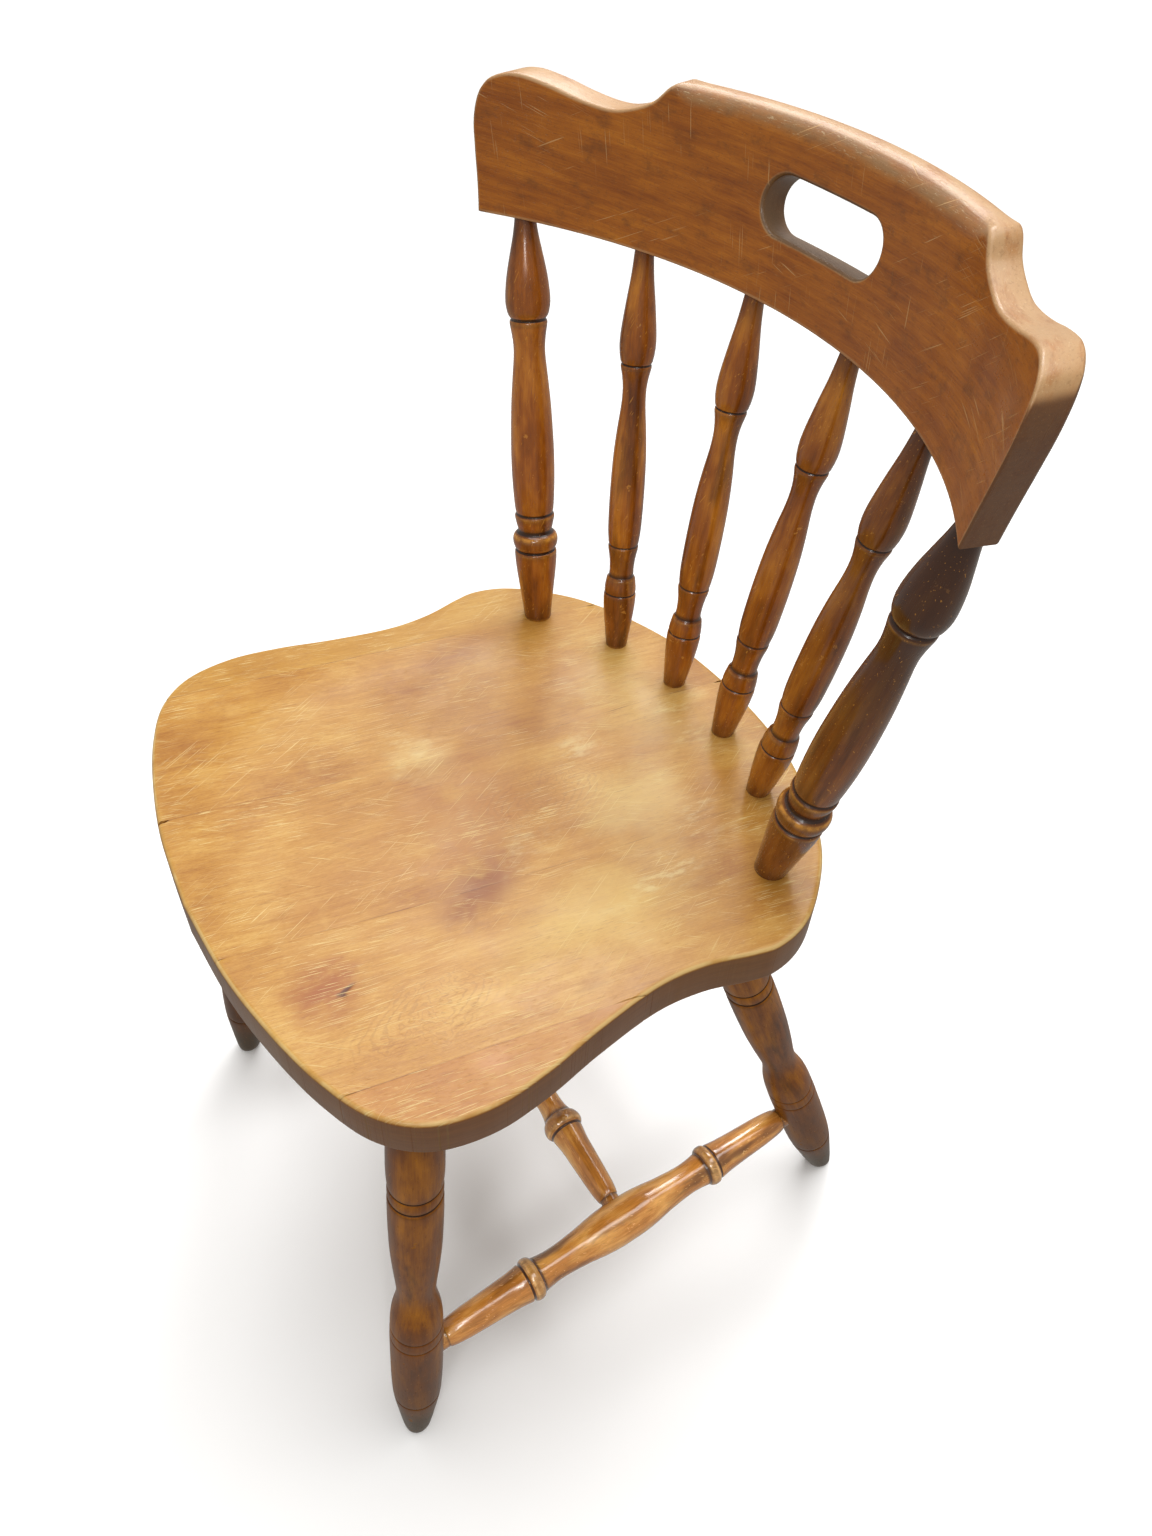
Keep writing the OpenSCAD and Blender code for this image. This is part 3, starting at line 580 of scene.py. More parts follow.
# ---------------------------------------------------------------- wood of the turned parts
def turned_wood(name, gain, dark, mid, light, groove, bead, foot=None, gloss=0.2, coat=0.5, streaks=1.0, spec=0.4):
    m = Mat(name)
    x, y, z = m.local()
    oid = m.attr("oid")
    cav, ridge, along = m.attr("cav"), m.attr("ridge"), m.attr("along")
    ox = m.mul(oid, 17.0)
    streak = m.noise(m.comb(m.add(m.mul(x, 0.20), ox), m.mul(y, 0.20), m.mul(z, 0.011)), 4.0, 0.6)
    fibre = m.noise(m.comb(m.add(m.mul(x, 1.3), ox), m.mul(y, 1.3), m.mul(z, 0.05)), 3.0, 0.6)
    blot = m.noise(m.comb(m.add(m.mul(x, 0.05), ox), m.mul(y, 0.05), m.mul(z, 0.018)), 3.0, 0.6)
    ring = m.math("SINE", m.add(m.mul(x, 0.9), m.mul(blot, 14.0)))
    fleck = m.rng(m.noise(m.comb(m.add(m.mul(x, 1.4), ox), m.mul(y, 1.4), m.mul(z, 0.16)), 2.0), 0.62, 0.7)
    tone = m.add(m.mul(streak, 0.32), m.mul(blot, 0.68), m.mul(ring, 0.012), m.mul(m.math("SUBTRACT", fibre, 0.5), 0.16))
    col = m.ramp(tone, [(0.30, dark), (0.48, mid), (0.66, light)])
    col = m.mix(m.mul(fleck, 0.35), col, dark)
    # stain gathered in long dark streaks and beside the turned rings
    run = m.rng(m.noise(m.comb(m.add(m.mul(x, 0.05), ox), m.mul(y, 0.05), m.add(m.mul(z, 0.009), oid)), 4.0, 0.6), 0.53, 0.70)
    col = m.mix(m.mul(run, 0.55 * streaks), col, groove)
    ends = m.math("MAXIMUM", m.rng(along, 0.90, 1.0), m.rng(along, 0.08, 0.0))
    col = m.mix(m.mul(ends, 0.45), col, groove)
    # painted shade darkening the upper part of the piece, set per piece: heaviest on the right post under the crest
    top_shade = m.attr("top_shade")
    col = m.mix(m.mul(top_shade, m.rng(m.add(along, m.mul(blot, 0.3)), 0.45, 0.95, 0.4, 0.95)), col, groove)
    near = m.rng(m.math("ADD", cav, ridge), 0.02, 0.45)
    col = m.mix(m.mul(near, 0.5), col, groove)
    col = m.mix(m.rng(cav, 0.10, 0.6, 0, 0.98), col, groove)
    rub = m.noise(m.comb(m.add(m.mul(x, 0.15), ox), m.mul(y, 0.15), m.mul(z, 0.12)), 4.0, 0.65)
    col = m.mix(m.mul(m.rng(ridge, 0.12, 0.7), m.rng(rub, 0.35, 0.62, 0.3, 1.0), 0.85), col, bead)
    if foot is not None:
        col = m.mix(m.mul(m.rng(along, 0.5, 0.05), 0.75), col, foot)
        tip = m.rng(m.add(along, m.mul(m.math("SUBTRACT", rub, 0.5), 0.06)), 0.15, 0.05)
        col = m.mix(m.mul(tip, 0.8), col, srgb(58, 48, 38))
    dings = m.rng(rub, 0.66, 0.71)
    col = m.mix(m.mul(dings, m.rng(top_shade, 0.0, 1.0, 0.5, 0.12)), col, bead)
    sc = m.rng(m.noise(m.comb(m.add(m.mul(x, 0.9), ox), m.add(m.mul(y, 0.9), m.mul(z, 0.45)), m.mul(z, 0.07)), 1.0), 0.70, 0.75)
    col = m.mix(m.mul(sc, 0.5), col, bead)
    m.put(m.b.inputs["Base Color"], m.mix(1.0, col, gain, "MULTIPLY"))
    rough = m.add(m.mul(blot, 0.22), gloss, m.mul(fleck, 0.1), m.mul(dings, 0.2), m.rng(cav, 0.1, 0.8, 0, 0.2))
    m.put(m.b.inputs["Roughness"], rough)
    m.b.inputs["Specular IOR Level"].default_value = spec
    m.b.inputs["Coat Weight"].default_value = coat
    m.b.inputs["Coat Roughness"].default_value = 0.12
    n = m.bump(m.noise(m.comb(m.mul(x, 0.08), m.mul(y, 0.08), m.mul(z, 0.03)), 2.0), 0.25, 0.0012)
    n = m.bump(m.add(m.mul(fibre, 0.4), m.mul(fleck, -0.4), m.mul(dings, -0.6), m.mul(sc, -0.4)), 0.28, 0.0005, n)
    m.put(m.b.inputs["Normal"], n)
    return m.m


def pin_steel():
    m = Mat("pin_steel")
    x, y, z = m.sep(m.coords())
    n1 = m.noise(m.comb(m.mul(x, 900.0), m.mul(y, 900.0), m.mul(z, 900.0)), 4.0, 0.6)
    col = m.ramp(n1, [(0.3, srgb(92, 82, 70)), (0.6, srgb(150, 142, 132))])
    m.put(m.b.inputs["Base Color"], col)
    m.b.inputs["Metallic"].default_value = 1.0
    m.put(m.b.inputs["Roughness"], m.rng(n1, 0.3, 0.7, 0.3, 0.6))
    m.put(m.b.inputs["Normal"], m.bump(n1, 0.2, 0.0002))
    return m.m


W_SEAT, W_CREST = seat_wood((0.66, 0.66, 0.47)), crest_wood((1.18, 1.07, 0.21))
W_BACK = turned_wood("back_turned_wood", (1.14, 1.05, 0.41), srgb(96, 48, 16), srgb(146, 84, 32), srgb(190, 126, 60),
                     srgb(44, 20, 9), srgb(206, 148, 88), gloss=0.12, coat=0.4)
W_LEG = turned_wood("leg_turned_wood", (0.92, 0.74, 0.02), srgb(84, 46, 20), srgb(128, 78, 36), srgb(176, 120, 62),
                    srgb(46, 24, 13), srgb(176, 124, 76), foot=srgb(82, 50, 26), gloss=0.24, coat=0.06, spec=0.25)
# the stretchers' high gain is painted light: it lifts them out of the shade under the seat
W_STRETCH = turned_wood("stretcher_turned_wood", (1.75, 1.95, 1.9), srgb(104, 56, 20), srgb(166, 102, 42), srgb(206, 148, 80),
                        srgb(58, 30, 13), srgb(214, 160, 100), gloss=0.06, coat=1.0, spec=0.6, streaks=1.3)
W_PIN = pin_steel()

# ---------------------------------------------------------------- turned pieces
# posts here and spindles below take a share of painted shade towards their tops, under the crest, most on the right
for s, side in ((-1, "left"), (1, "right")):
    k = V(s, 1, 1)
    lathe(f"turned_post_{side}", POST_A * k, POST_B * k, POST, 286, W_BACK, f"post_{side}",
          1.3 + s * 0.9, tenons=((-22, 8.5), (20, 5.5)), top_shade=0.95 if s > 0 else 0.0)
    lathe(f"turned_leg_front_{side}", FRONT_A * k, FRONT_B * k, LEG, 420, W_LEG,
          f"leg_front_{side}", 6.1 + s, tenons=(None, (20, 11)), floor=True)
    lathe(f"turned_leg_rear_{side}", REAR_A * k, REAR_B * k, LEG, 420, W_LEG,
          f"leg_rear_{side}", 9.4 + s, tenons=(None, (20, 11)), floor=True)
    lathe(f"turned_side_stretcher_{side}", SIDE_A * k, SIDE_B * k, SIDE_H, 1, W_STRETCH,
          f"side_stretcher_{side}", 12.2 + s, both=True)
for i, (s, a, b) in enumerate(((-1, OUT_A, OUT_B), (-1, IN_A, IN_B), (1, IN_A, IN_B), (1, OUT_A, OUT_B))):
    k = V(s, 1, 1)
    lathe(f"turned_spindle_{i + 1}", a * k, b * k, SPINDLE, 284, W_BACK, f"spindle_{i + 1}",
          20.7 + i * 1.37, tenons=((-20, 6), (20, 5)), top_shade=(0.05, 0.1, 0.2, 0.5)[i])
lathe("turned_centre_stretcher", SIDE_M * V(-1, 1, 1), SIDE_M, CENTRE_H, 1, W_STRETCH,
      "centre_stretcher", 15.9, both=True)


# ---------------------------------------------------------------- flat pieces: shared planar work
def seg_distance(P, Q, closed=True):
    """distance from each point of P to the polyline Q, and the index and share of the nearest piece"""
    A = Q
    B = np.roll(Q, -1, axis=0)
    if not closed:
        A, B = A[:-1], B[:-1]
    D = B - A
    L = (D ** 2).sum(1)
    best = np.full(len(P), 1e9)
    idx = np.zeros(len(P), int)
    tt = np.zeros(len(P))
    for c in range(0, len(P), 1500):
        p = P[c:c + 1500, None, :]
        t = np.clip(((p - A) * D).sum(2) / L, 0, 1)
        d = np.sqrt(((p - A - t[:, :, None] * D) ** 2).sum(2))
        i = d.argmin(1)
        r = np.arange(len(i))
        best[c:c + 1500], idx[c:c + 1500], tt[c:c + 1500] = d[r, i], i, t[r, i]
    return best, idx, tt


def inside(P, Q):
    x, y = P[:, 0], P[:, 1]
    r = np.zeros(len(P), bool)
    n = len(Q)
    for i in range(n):
        x1, y1 = Q[i]
        x2, y2 = Q[(i + 1) % n]
        if y1 == y2:
            continue
        c = ((y1 > y) != (y2 > y)) & (x < (x2 - x1) * (y - y1) / (y2 - y1) + x1)
        r ^= c
    return r


def resample(Q, step, closed=True):
    Q = np.array(Q, float)
    R = np.vstack([Q, Q[:1]]) if closed else Q
    d = np.concatenate([[0], np.cumsum(np.hypot(*np.diff(R, axis=0).T))])
    n = max(2, int(round(d[-1] / step)))
    s = np.linspace(0, d[-1], n + 1)
    out = np.column_stack([np.interp(s, d, R[:, 0]), np.interp(s, d, R[:, 1])])
    return out[:-1] if closed else out


def inward(Q):
    """unit normals to the left of each point of a closed loop run anticlockwise"""
    T = np.roll(Q, -1, 0) - np.roll(Q, 1, 0)
    T /= np.linalg.norm(T, axis=1)[:, None]
    return np.column_stack([-T[:, 1], T[:, 0]])


def triangulate(points, edges):
    v, e, f, ov, oe, of_ = delaunay_2d_cdt([Vector(p) for p in points], edges, [], 0, 1e-4)
    return np.array([tuple(q) for q in v]), [tuple(t) for t in f]


def close_sheet(tris, n, front_first=True):
    """faces of a closed piece from one triangulation: front, back (offset n) and walls"""
    faces = [t for t in tris] + [(t[0] + n, t[2] + n, t[1] + n) for t in tris]
    count = {}
    for t in tris:
        for i in range(3):
            e = (t[i], t[(i + 1) % 3])
            count[e] = count.get(e, 0) + 1
    for (i, j) in count:
        if (j, i) not in count:
            faces.append((j, i, i + n, j + n))
    return faces


# ---------------------------------------------------------------- seat boards
half = curve([(0, -225.5), (60, -221.5), (110, -212), (150, -200), (182, -184), (202, -160), (209, -126),
              (205, -90), (196, -52), (188.5, -8), (190, 25), (197.5, 54), (200, 72), (194, 95), (178, 118),
              (150, 144), (110, 165), (60, 180.5), (0, 186)], 12)
outline = resample(half + [(-p[0], p[1]) for p in half[-2:0:-1]], 2.4)
DISH = np.array(curve([(0, 1), (0.3, 0.96), (0.55, 0.8), (0.76, 0.5), (0.9, 0.18), (1, 0)], 8))
JOINTS = (-160.0, -40.0, 81.0, 192.0)
TOP_R, LOW_R = 3.2, 2.2
pts = [tuple(p) for p in outline]
edges = [(i, (i + 1) % len(outline)) for i in range(len(outline))]
nrm = inward(outline)
for d in (0.12, 0.45, 0.95, 1.55, 2.3, 3.2, 4.6):
    q = outline + nrm * d
    pts += [tuple(p) for p in q]
for j in JOINTS:
    ys = np.arange(-240.0, 200.1, 4.0)
    line = np.column_stack([j + 0.14 * ys, ys])
    keep = line[inside(line, outline)]
    dd = seg_distance(keep, outline)[0]
    keep = keep[dd > 6.0]
    hits = []
    f0 = outline[:, 0] - 0.14 * outline[:, 1] - j
    for i in range(len(outline)):
        g0, g1 = f0[i], f0[(i + 1) % len(outline)]
        if (g0 <= 0) != (g1 <= 0):
            hits.append(outline[i] + (outline[(i + 1) % len(outline)] - outline[i]) * (g0 / (g0 - g1)))
    hits.sort(key=lambda q: q[1])
    ends_ = [hits[0], hits[-1]]
    row = [tuple(ends_[0])] + [tuple(p) for p in keep] + [tuple(ends_[1])]
    base = len(pts)
    pts += row
    edges += [(base + i, base + i + 1) for i in range(len(row) - 1)]
gx, gy = np.meshgrid(np.arange(-212, 212.1, 5.0), np.arange(-230, 190.1, 5.0))
grid = np.column_stack([gx.ravel() + np.where((np.arange(gx.size) // gx.shape[1]) % 2, 2.5, 0), gy.ravel()])
grid = grid[inside(grid, outline)]
grid = grid[seg_distance(grid, outline)[0] > 6.5]
a_ = grid[:, 0] - 0.14 * grid[:, 1]
grid = grid[np.min([np.abs(a_ - j) for j in JOINTS], axis=0) > 2.2]
pts += [tuple(p) for p in grid]
P2, tris = triangulate(pts, edges)
tri = np.array(tris)
cen = P2[tri].mean(1)
tri = tri[inside(cen, outline)]
area = np.cross(P2[tri[:, 1]] - P2[tri[:, 0]], P2[tri[:, 2]] - P2[tri[:, 0]])
tri = tri[np.abs(area) > 1e-6]
area = np.cross(P2[tri[:, 1]] - P2[tri[:, 0]], P2[tri[:, 2]] - P2[tri[:, 0]])
tri[area < 0] = tri[area < 0][:, ::-1]
dist = seg_distance(P2, outline)[0]


def arris(d, r):
    d = np.clip(d, 0, r)
    return r - np.sqrt(np.maximum(r * r - (r - d) ** 2, 0))


rho = np.hypot(P2[:, 0], P2[:, 1] + 32) / 165.0
dish = 5.0 * np.interp(rho, DISH[:, 0], DISH[:, 1], right=0.0)
top = -dish - arris(dist, TOP_R)
bot = -SEAT_THICK + arris(dist, LOW_R)
SEAT_M = Matrix.Translation((0, 0, SEAT_TOP * MM)) @ Matrix.Rotation(-FALL, 4, "X")
cen = P2[tri].mean(1)
strip = np.digitize(cen[:, 0] - 0.14 * cen[:, 1], JOINTS)
for i in range(5):
    t = tri[strip == i]
    used = np.unique(t)
    remap = -np.ones(len(P2), int)
    remap[used] = np.arange(len(used))
    n = len(used)
    verts = np.vstack([np.column_stack([P2[used], top[used]]), np.column_stack([P2[used], bot[used]])]) * MM
    faces = close_sheet([tuple(q) for q in remap[t]], n)
    make_mesh(f"seat_plank_{i + 1}", verts, faces, SEAT_M, W_SEAT,
              {"ed": np.tile(dist[used], 2), "oid": np.full(2 * n, 2.3 + i * 3.17), "board": np.full(2 * n, i + 1.0)},
              [f"seat_board_{i + 1}"])

# ---------------------------------------------------------------- crest rail
EAR = rad(12)
Y0 = BY + TL * 64.5
CE, SE = math.cos(EAR), math.sin(EAR)


def face_y(x, z, R): return BY + (z - LOW) * TL + math.sqrt(R * R - x * x) / math.cos(LEAN)


def to_sw(x, z):
    y = face_y(x, z, RF)
    return (RF * math.asin(x / RF), (y - BY) * math.sin(LEAN) + (z - LOW) * math.cos(LEAN))


def x_of_u(u, z):
    lo, hi = 0.0, 300.0
    for _ in range(50):
        mid = (lo + hi) / 2
        if mid * CE - (face_y(mid, z, RF) - Y0) * SE < u:
            lo = mid
        else:
            hi = mid
    return (lo + hi) / 2


ear = curve([(166, 712), (167.5, 728), (169.5, 743), (172, 759), (174, 775), (173, 788), (169.5, 795.5), (165, 799),
             (158.5, 801), (151.5, 801.2), (144.5, 800), (133, 797.2), (117, 792.8), (102, 790.2), (90, 790.2),
             (77, 793.8), (69, 797.6), (65, 801.2), (61.5, 805),
             (57.5, 807.7), (52.5, 809), (46, 810)], 10)
ear_pts = []
for u, z in ear:
    x = x_of_u(u, z)
    ear_pts.append((x, z, crest_z(face_y(x, z, RF))))
side_line = []
for i, (x, z, zb) in enumerate(ear_pts):
    if z < zb:
        continue
    if not side_line and i:
        x0, z0, b0 = ear_pts[i - 1]
        t = (b0 - z0) / ((z - z0) - (zb - b0))
        side_line.append((x0 + (x - x0) * t, z0 + (z - z0) * t))
    if z > HIGH:
        x0, z0, _ = ear_pts[i - 1]
        t = (HIGH - z0) / (z - z0)
        side_line.append((x0 + (x - x0) * t, HIGH))
        break
    side_line.append((x, z))


def bottom(x):
    q = math.sqrt(RF * RF - x * x) / math.cos(LEAN)
    y = (BY + RISE * BACK * TL + q) / (1 + RISE * TL)
    return crest_z(y)


x_end, x_hump = side_line[0][0], side_line[-1][0]
right = [(x, bottom(x)) for x in np.linspace(0, x_end, 90)][:-1] + side_line \
    + [(x, HIGH) for x in np.linspace(x_hump, 0, 30)][1:]
right = [to_sw(x, z) for x, z in right]
loop = right + [(-p[0], p[1]) for p in right[-2:0:-1]]
crest_loop = resample(loop, 1.7)
CW = 49 / math.cos(LEAN)
SX, SR = (96 - 31) / 2, 15.5
# the slot is square to the board: across its bend it keeps its width in x
slot_loop = []
for cx, a0 in ((SX, -90), (-SX, 90)):
    for k_ in range(0, 25):
        th = rad(a0 + 180 * k_ / 24)
        slot_loop.append((cx + SR * math.cos(th), SR * math.sin(th)))
slot_centre = (face_y(0, LOW, RF) - BY) * math.sin(LEAN)
mid_w = ((BACK + TL * 49 - BY) * math.sin(LEAN) + 49 * math.cos(LEAN))
slot_loop = [(RF * math.asin(x / RF), mid_w + w) for x, w in slot_loop]
slot_loop = resample(slot_loop, 1.6)
print("slot centre w", round(mid_w, 2), "crest loop", len(crest_loop), "slot loop", len(slot_loop))

Q = crest_loop
rf_line = np.full(len(Q), 2.0)
rb_line = np.full(len(Q), 2.0)
hump = (np.abs(Q[:, 0]) < 124) & (Q[:, 1] > to_sw(120, 799)[1])
low_edge = np.zeros(len(Q), bool)
for i, (s_, w_) in enumerate(Q):
    x_ = RF * math.sin(s_ / RF)
    if abs(x_) < x_end - 1 and w_ < to_sw(x_, bottom(x_))[1] + 1:
        low_edge[i] = True
rf_line[hump], rb_line[hump] = 10.3, 5.8
rf_line[low_edge], rb_line[low_edge] = 1.5, 1.5
ker = np.exp(-0.5 * (np.arange(-12, 13) / 3.6) ** 2)
ker /= ker.sum()
def smooth(v): return np.convolve(np.concatenate([v[-12:], v, v[:12]]), ker, "valid")
rf_line, rb_line = smooth(rf_line), smooth(rb_line)
pts, edges = [tuple(p) for p in Q], [(i, (i + 1) % len(Q)) for i in range(len(Q))]
base = len(pts)
pts += [tuple(p) for p in slot_loop]
edges += [(base + i, base + (i + 1) % len(slot_loop)) for i in range(len(slot_loop))]
nq = inward(Q)
ns = -inward(slot_loop)
extra = []
for sh in (0.02, 0.1, 0.24, 0.45, 0.7, 1.0, 1.6):
    extra.append(Q + nq * (rf_line * sh)[:, None])
    extra.append(slot_loop + ns * 2.4 * sh)
gx, gy = np.meshgrid(np.arange(-262, 262.1, 4.0), np.arange(30, 190.1, 4.0))
grid = np.column_stack([gx.ravel() + np.where((np.arange(gx.size) // gx.shape[1]) % 2, 2.0, 0), gy.ravel()])
extra = np.vstack(extra)
d_e, i_e, t_e = seg_distance(extra, Q)
d_s, _, _ = seg_distance(extra, slot_loop)
ok = inside(extra, Q) & ~inside(extra, slot_loop) & (d_e > 0.02) & (d_s > 0.02)
rr = rf_line[i_e]
extra = extra[ok]
keep = []
cell = {}
for p in extra:
    key = (round(p[0] / 0.22), round(p[1] / 0.22))
    if key in cell:
        continue
    cell[key] = 1
    keep.append(tuple(p))
pts += keep
d_e, i_e, t_e = seg_distance(grid, Q)
d_s, _, _ = seg_distance(grid, slot_loop)
grid = grid[inside(grid, Q) & ~inside(grid, slot_loop) & (d_e > 1.7 * rf_line[i_e] + 1.2) & (d_s > 5.0)]
pts += [tuple(p) for p in grid]
P2, tris = triangulate(pts, edges)
tri = np.array(tris)
cen = P2[tri].mean(1)
tri = tri[inside(cen, Q) & ~inside(cen, slot_loop)]
area = np.cross(P2[tri[:, 1]] - P2[tri[:, 0]], P2[tri[:, 2]] - P2[tri[:, 0]])
tri = tri[np.abs(area) > 1e-7]
area = np.cross(P2[tri[:, 1]] - P2[tri[:, 0]], P2[tri[:, 2]] - P2[tri[:, 0]])
tri[area < 0] = tri[area < 0][:, ::-1]
used = np.unique(tri)
remap = -np.ones(len(P2), int)
remap[used] = np.arange(len(used))
P2, tri = P2[used], remap[tri]
dq, iq, tq = seg_distance(P2, Q)
ds, _, _ = seg_distance(P2, slot_loop)
nxt = (iq + 1) % len(Q)
rf = rf_line[iq] * (1 - tq) + rf_line[nxt] * tq
rb = rb_line[iq] * (1 - tq) + rb_line[nxt] * tq
near_slot = ds < dq
rf = np.where(near_slot, 2.4, rf)
rb = np.where(near_slot, 2.0, rb)
d = np.minimum(ds, dq)
cut_f, cut_b = arris(d, rf), arris(d, rb)
S, Wc = P2[:, 0], P2[:, 1]
X, Yl = RF * np.sin(S / RF), RF * np.cos(S / RF)
phi = EAR * np.clip(X / 55.0, -1, 1)
def step01(v): v = np.clip(v, 0, 1); return v * v * (3 - 2 * v)
k_slot = step01((20 - ds) / 14.0)
z_here = LOW - Yl * math.sin(LEAN) + Wc * math.cos(LEAN)
y_here = BY + Yl * math.cos(LEAN) + Wc * math.sin(LEAN)
k_low = step01((14 - (z_here - (LOW + RISE * (BACK - y_here)))) / 12.0)
slope = -TL * k_slot - RISE * k_low
phi = phi * (1 - k_slot)
D = np.column_stack([np.sin(phi), np.cos(phi), np.cos(phi) * slope])
D /= np.linalg.norm(D, axis=1)[:, None]
Dx = D[:, 0]
Dy = D[:, 1] * math.cos(LEAN) - D[:, 2] * math.sin(LEAN)
Dz = D[:, 1] * math.sin(LEAN) + D[:, 2] * math.cos(LEAN)
A_ = Dx ** 2 + Dy ** 2
B_ = 2 * (X * Dx + Yl * Dy)
C_ = X ** 2 + Yl ** 2 - RB ** 2
K = (-B_ + np.sqrt(B_ * B_ - 4 * A_ * C_)) / (2 * A_)


def crest_world(k):
    lx, ly, lz = X + k * Dx, Yl + k * Dy, Wc + k * Dz
    return np.column_stack([lx, BY + ly * math.cos(LEAN) + lz * math.sin(LEAN),
                            LOW - ly * math.sin(LEAN) + lz * math.cos(LEAN)])


front, rear = crest_world(cut_f), crest_world(K - cut_b)
verts = np.vstack([front, rear]) * MM
faces = close_sheet([tuple(q) for q in tri], len(P2))
gc = np.vstack([np.column_stack([S, Wc - mid_w + 56, cut_f]), np.column_stack([S, Wc - mid_w + 56, K - cut_b])])
make_mesh("crest_board", verts, faces, Matrix.Identity(4), W_CREST,
          {"ed": np.tile(d, 2), "gc": gc}, ["crest_rail"])

# ---------------------------------------------------------------- brads keep their CAD shape
for node in ("crest_pins",):
    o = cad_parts[node]
    o.data.materials.clear()
    o.data.materials.append(W_PIN)

# ---------------------------------------------------------------- floor, light, camera
floor_m = Mat("floor_pale")
fx, fy, _ = floor_m.sep(floor_m.coords())
fn = floor_m.noise(floor_m.comb(fx, fy, 0.0), 3.0, 0.5, 0.0, 2.0)
floor_m.put(floor_m.b.inputs["Base Color"], floor_m.ramp(fn, [(0.3, (0.9, 0.9, 0.9)), (0.7, (0.93, 0.93, 0.93))]))
floor_m.b.inputs["Roughness"].default_value = 0.9
floor_m.b.inputs["Specular IOR Level"].default_value = 0.1
fme = bpy.data.meshes.new("floor")
fme.from_pydata([(-9, -9, 0), (9, -9, 0), (9, 9, 0), (-9, 9, 0)], [], [(0, 1, 2, 3)])
fme.materials.append(floor_m.m)
floor = bpy.data.objects.new("floor", fme)
floor.location.z = -0.0004
bpy.context.scene.collection.objects.link(floor)
floor.visible_glossy = False
floor.visible_diffuse = False
floor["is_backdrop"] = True

back_m = bpy.data.materials.new("backdrop_pale")
back_m.use_nodes = True
back_m.node_tree.nodes.clear()
em = back_m.node_tree.nodes.new("ShaderNodeEmission")
em.inputs[0].default_value = (1, 1, 1, 1)
em.inputs[1].default_value = 0.97
mo = back_m.node_tree.nodes.new("ShaderNodeOutputMaterial")
back_m.node_tree.links.new(em.outputs[0], mo.inputs[0])
bv, bf = [], []
for i in range(13):
    for j in range(32):
        e_, a2 = rad(-90 + 15 * i), rad(11.25 * j)
        bv.append((8.8 * math.cos(e_) * math.cos(a2), 8.8 * math.cos(e_) * math.sin(a2), 8.8 * math.sin(e_)))
        if i < 12:
            bf.append((i * 32 + j, i * 32 + (j + 1) % 32, (i + 1) * 32 + (j + 1) % 32, (i + 1) * 32 + j))
bme = bpy.data.meshes.new("backdrop")
bme.from_pydata(bv, [], bf)
bme.materials.append(back_m)
backdrop = bpy.data.objects.new("backdrop", bme)
bpy.context.scene.collection.objects.link(backdrop)
backdrop.visible_diffuse = backdrop.visible_glossy = backdrop.visible_shadow = False
backdrop.visible_transmission = False
backdrop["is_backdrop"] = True

world = bpy.data.worlds.new("studio")
bpy.context.scene.world = world
world.use_nodes = True
world.node_tree.nodes["Background"].inputs[0].default_value = (1.0, 0.96, 0.9, 1)
world.node_tree.nodes["Background"].inputs[1].default_value = 0.42


def softbox(name, loc, target, size, power, colour=(1, 1, 1)):
    l = bpy.data.lights.new(name, "AREA")
    l.shape = "RECTANGLE"
    l.size, l.size_y = size
    l.energy = power
    l.color = colour
    o = bpy.data.objects.new(name, l)
    o.location = loc
    o.rotation_euler = (Vector(target) - Vector(loc)).to_track_quat("-Z", "Y").to_euler()
    bpy.context.scene.collection.objects.link(o)


sun = bpy.data.lights.new("sky_panel", "SUN")
sun.energy = 2.5
sun.angle = rad(55)
sun_o = bpy.data.objects.new("sky_panel", sun)
sun_o.rotation_euler = Vector((0.16, -0.24, -1.0)).to_track_quat("-Z", "Y").to_euler()
bpy.context.scene.collection.objects.link(sun_o)
softbox("back_left", (-0.85, 0.75, 1.8), (0, 0, 0.45), (0.8, 0.6), 13)
softbox("front_fill", (1.5, -1.3, 2.0), (0, 0, 0.3), (0.45, 0.3), 10)

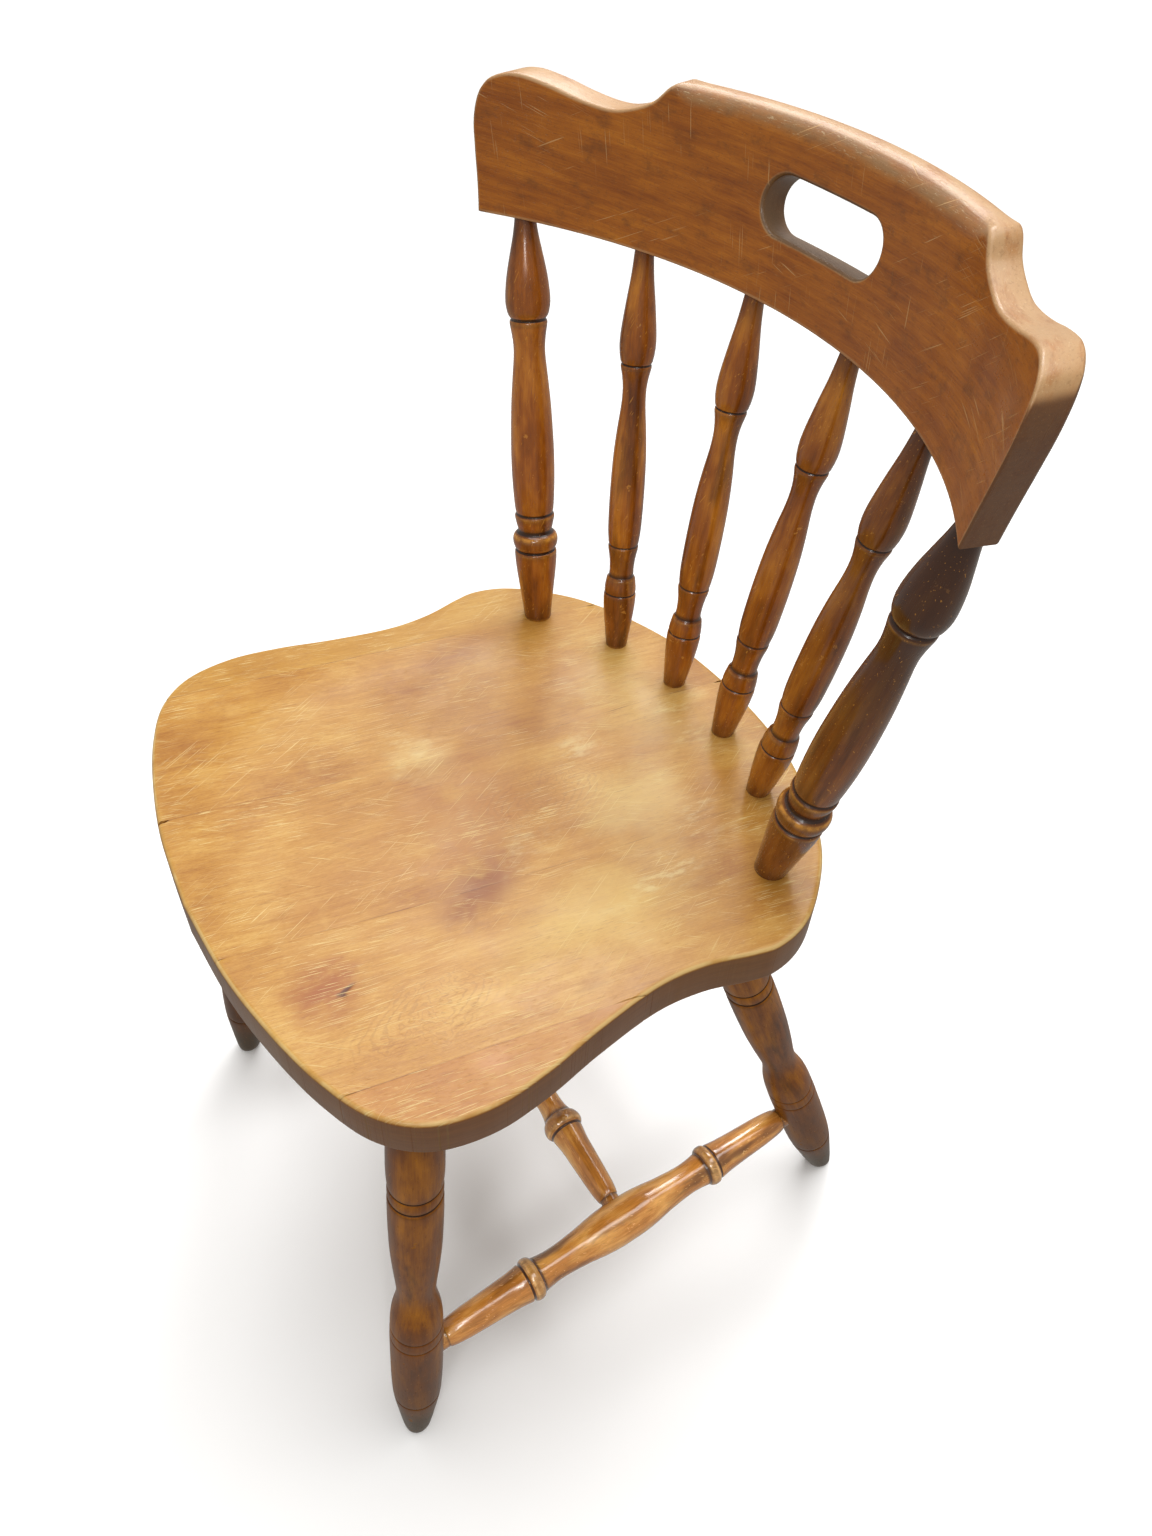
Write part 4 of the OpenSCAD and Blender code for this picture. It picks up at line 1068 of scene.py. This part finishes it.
softbox("strip", (1.15, -0.35, 2.3), (0.17, -0.05, 0.12), (0.16, 0.9), 7)

cam = bpy.data.cameras.new("camera")
cam_o = bpy.data.objects.new("camera", cam)
bpy.context.scene.collection.objects.link(cam_o)
yaw, pitch, roll = rad(58.626), rad(45.317), rad(0.816)
fwd = Vector((-math.sin(yaw) * math.cos(pitch), math.cos(yaw) * math.cos(pitch), -math.sin(pitch)))
rt = Vector((math.cos(yaw), math.sin(yaw), 0))
up = rt.cross(fwd)
r2 = rt * math.cos(roll) + up * math.sin(roll)
u2 = up * math.cos(roll) - rt * math.sin(roll)
R = Matrix((r2, u2, -fwd)).transposed().to_4x4()
cam_o.matrix_world = Matrix.Translation((0.47806, -0.24293, 0.99922)) @ R
cam.sensor_width = 36
cam.lens = 1142.81 * 36 / 1536
cam.shift_x = -(576.3 - 576) / 1536
cam.shift_y = (762.28 - 768) / 1536
cam.clip_start, cam.clip_end = 0.02, 60
bpy.context.scene.camera = cam_o
bpy.context.scene.view_settings.view_transform = "Standard"
bpy.context.scene.view_settings.look = "None"

# ---------------------------------------------------------------- each piece against the CAD node it stands for
bpy.context.view_layer.update()
pairs = {"crest_board": "crest_rail", "turned_centre_stretcher": "centre_stretcher"}
for i in range(5):
    pairs[f"seat_plank_{i + 1}"] = f"seat_board_{i + 1}"
for i in range(4):
    pairs[f"turned_spindle_{i + 1}"] = f"spindle_{i + 1}"
for side in ("left", "right"):
    pairs[f"turned_post_{side}"] = f"post_{side}"
    pairs[f"turned_leg_front_{side}"] = f"leg_front_{side}"
    pairs[f"turned_leg_rear_{side}"] = f"leg_rear_{side}"
    pairs[f"turned_side_stretcher_{side}"] = f"side_stretcher_{side}"
for piece, node in pairs.items():
    o = bpy.data.objects[piece]
    co = np.array([tuple(o.matrix_world @ v.co) for v in o.data.vertices])
    lo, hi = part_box(node)
    dlt = np.concatenate([co.min(0) - np.array(lo), np.array(hi) - co.max(0)]) * 1000
    if np.abs(dlt).max() > 0.35:
        print("box of", piece, "differs from", node, "by mm", np.round(dlt, 2))
lo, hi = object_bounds()
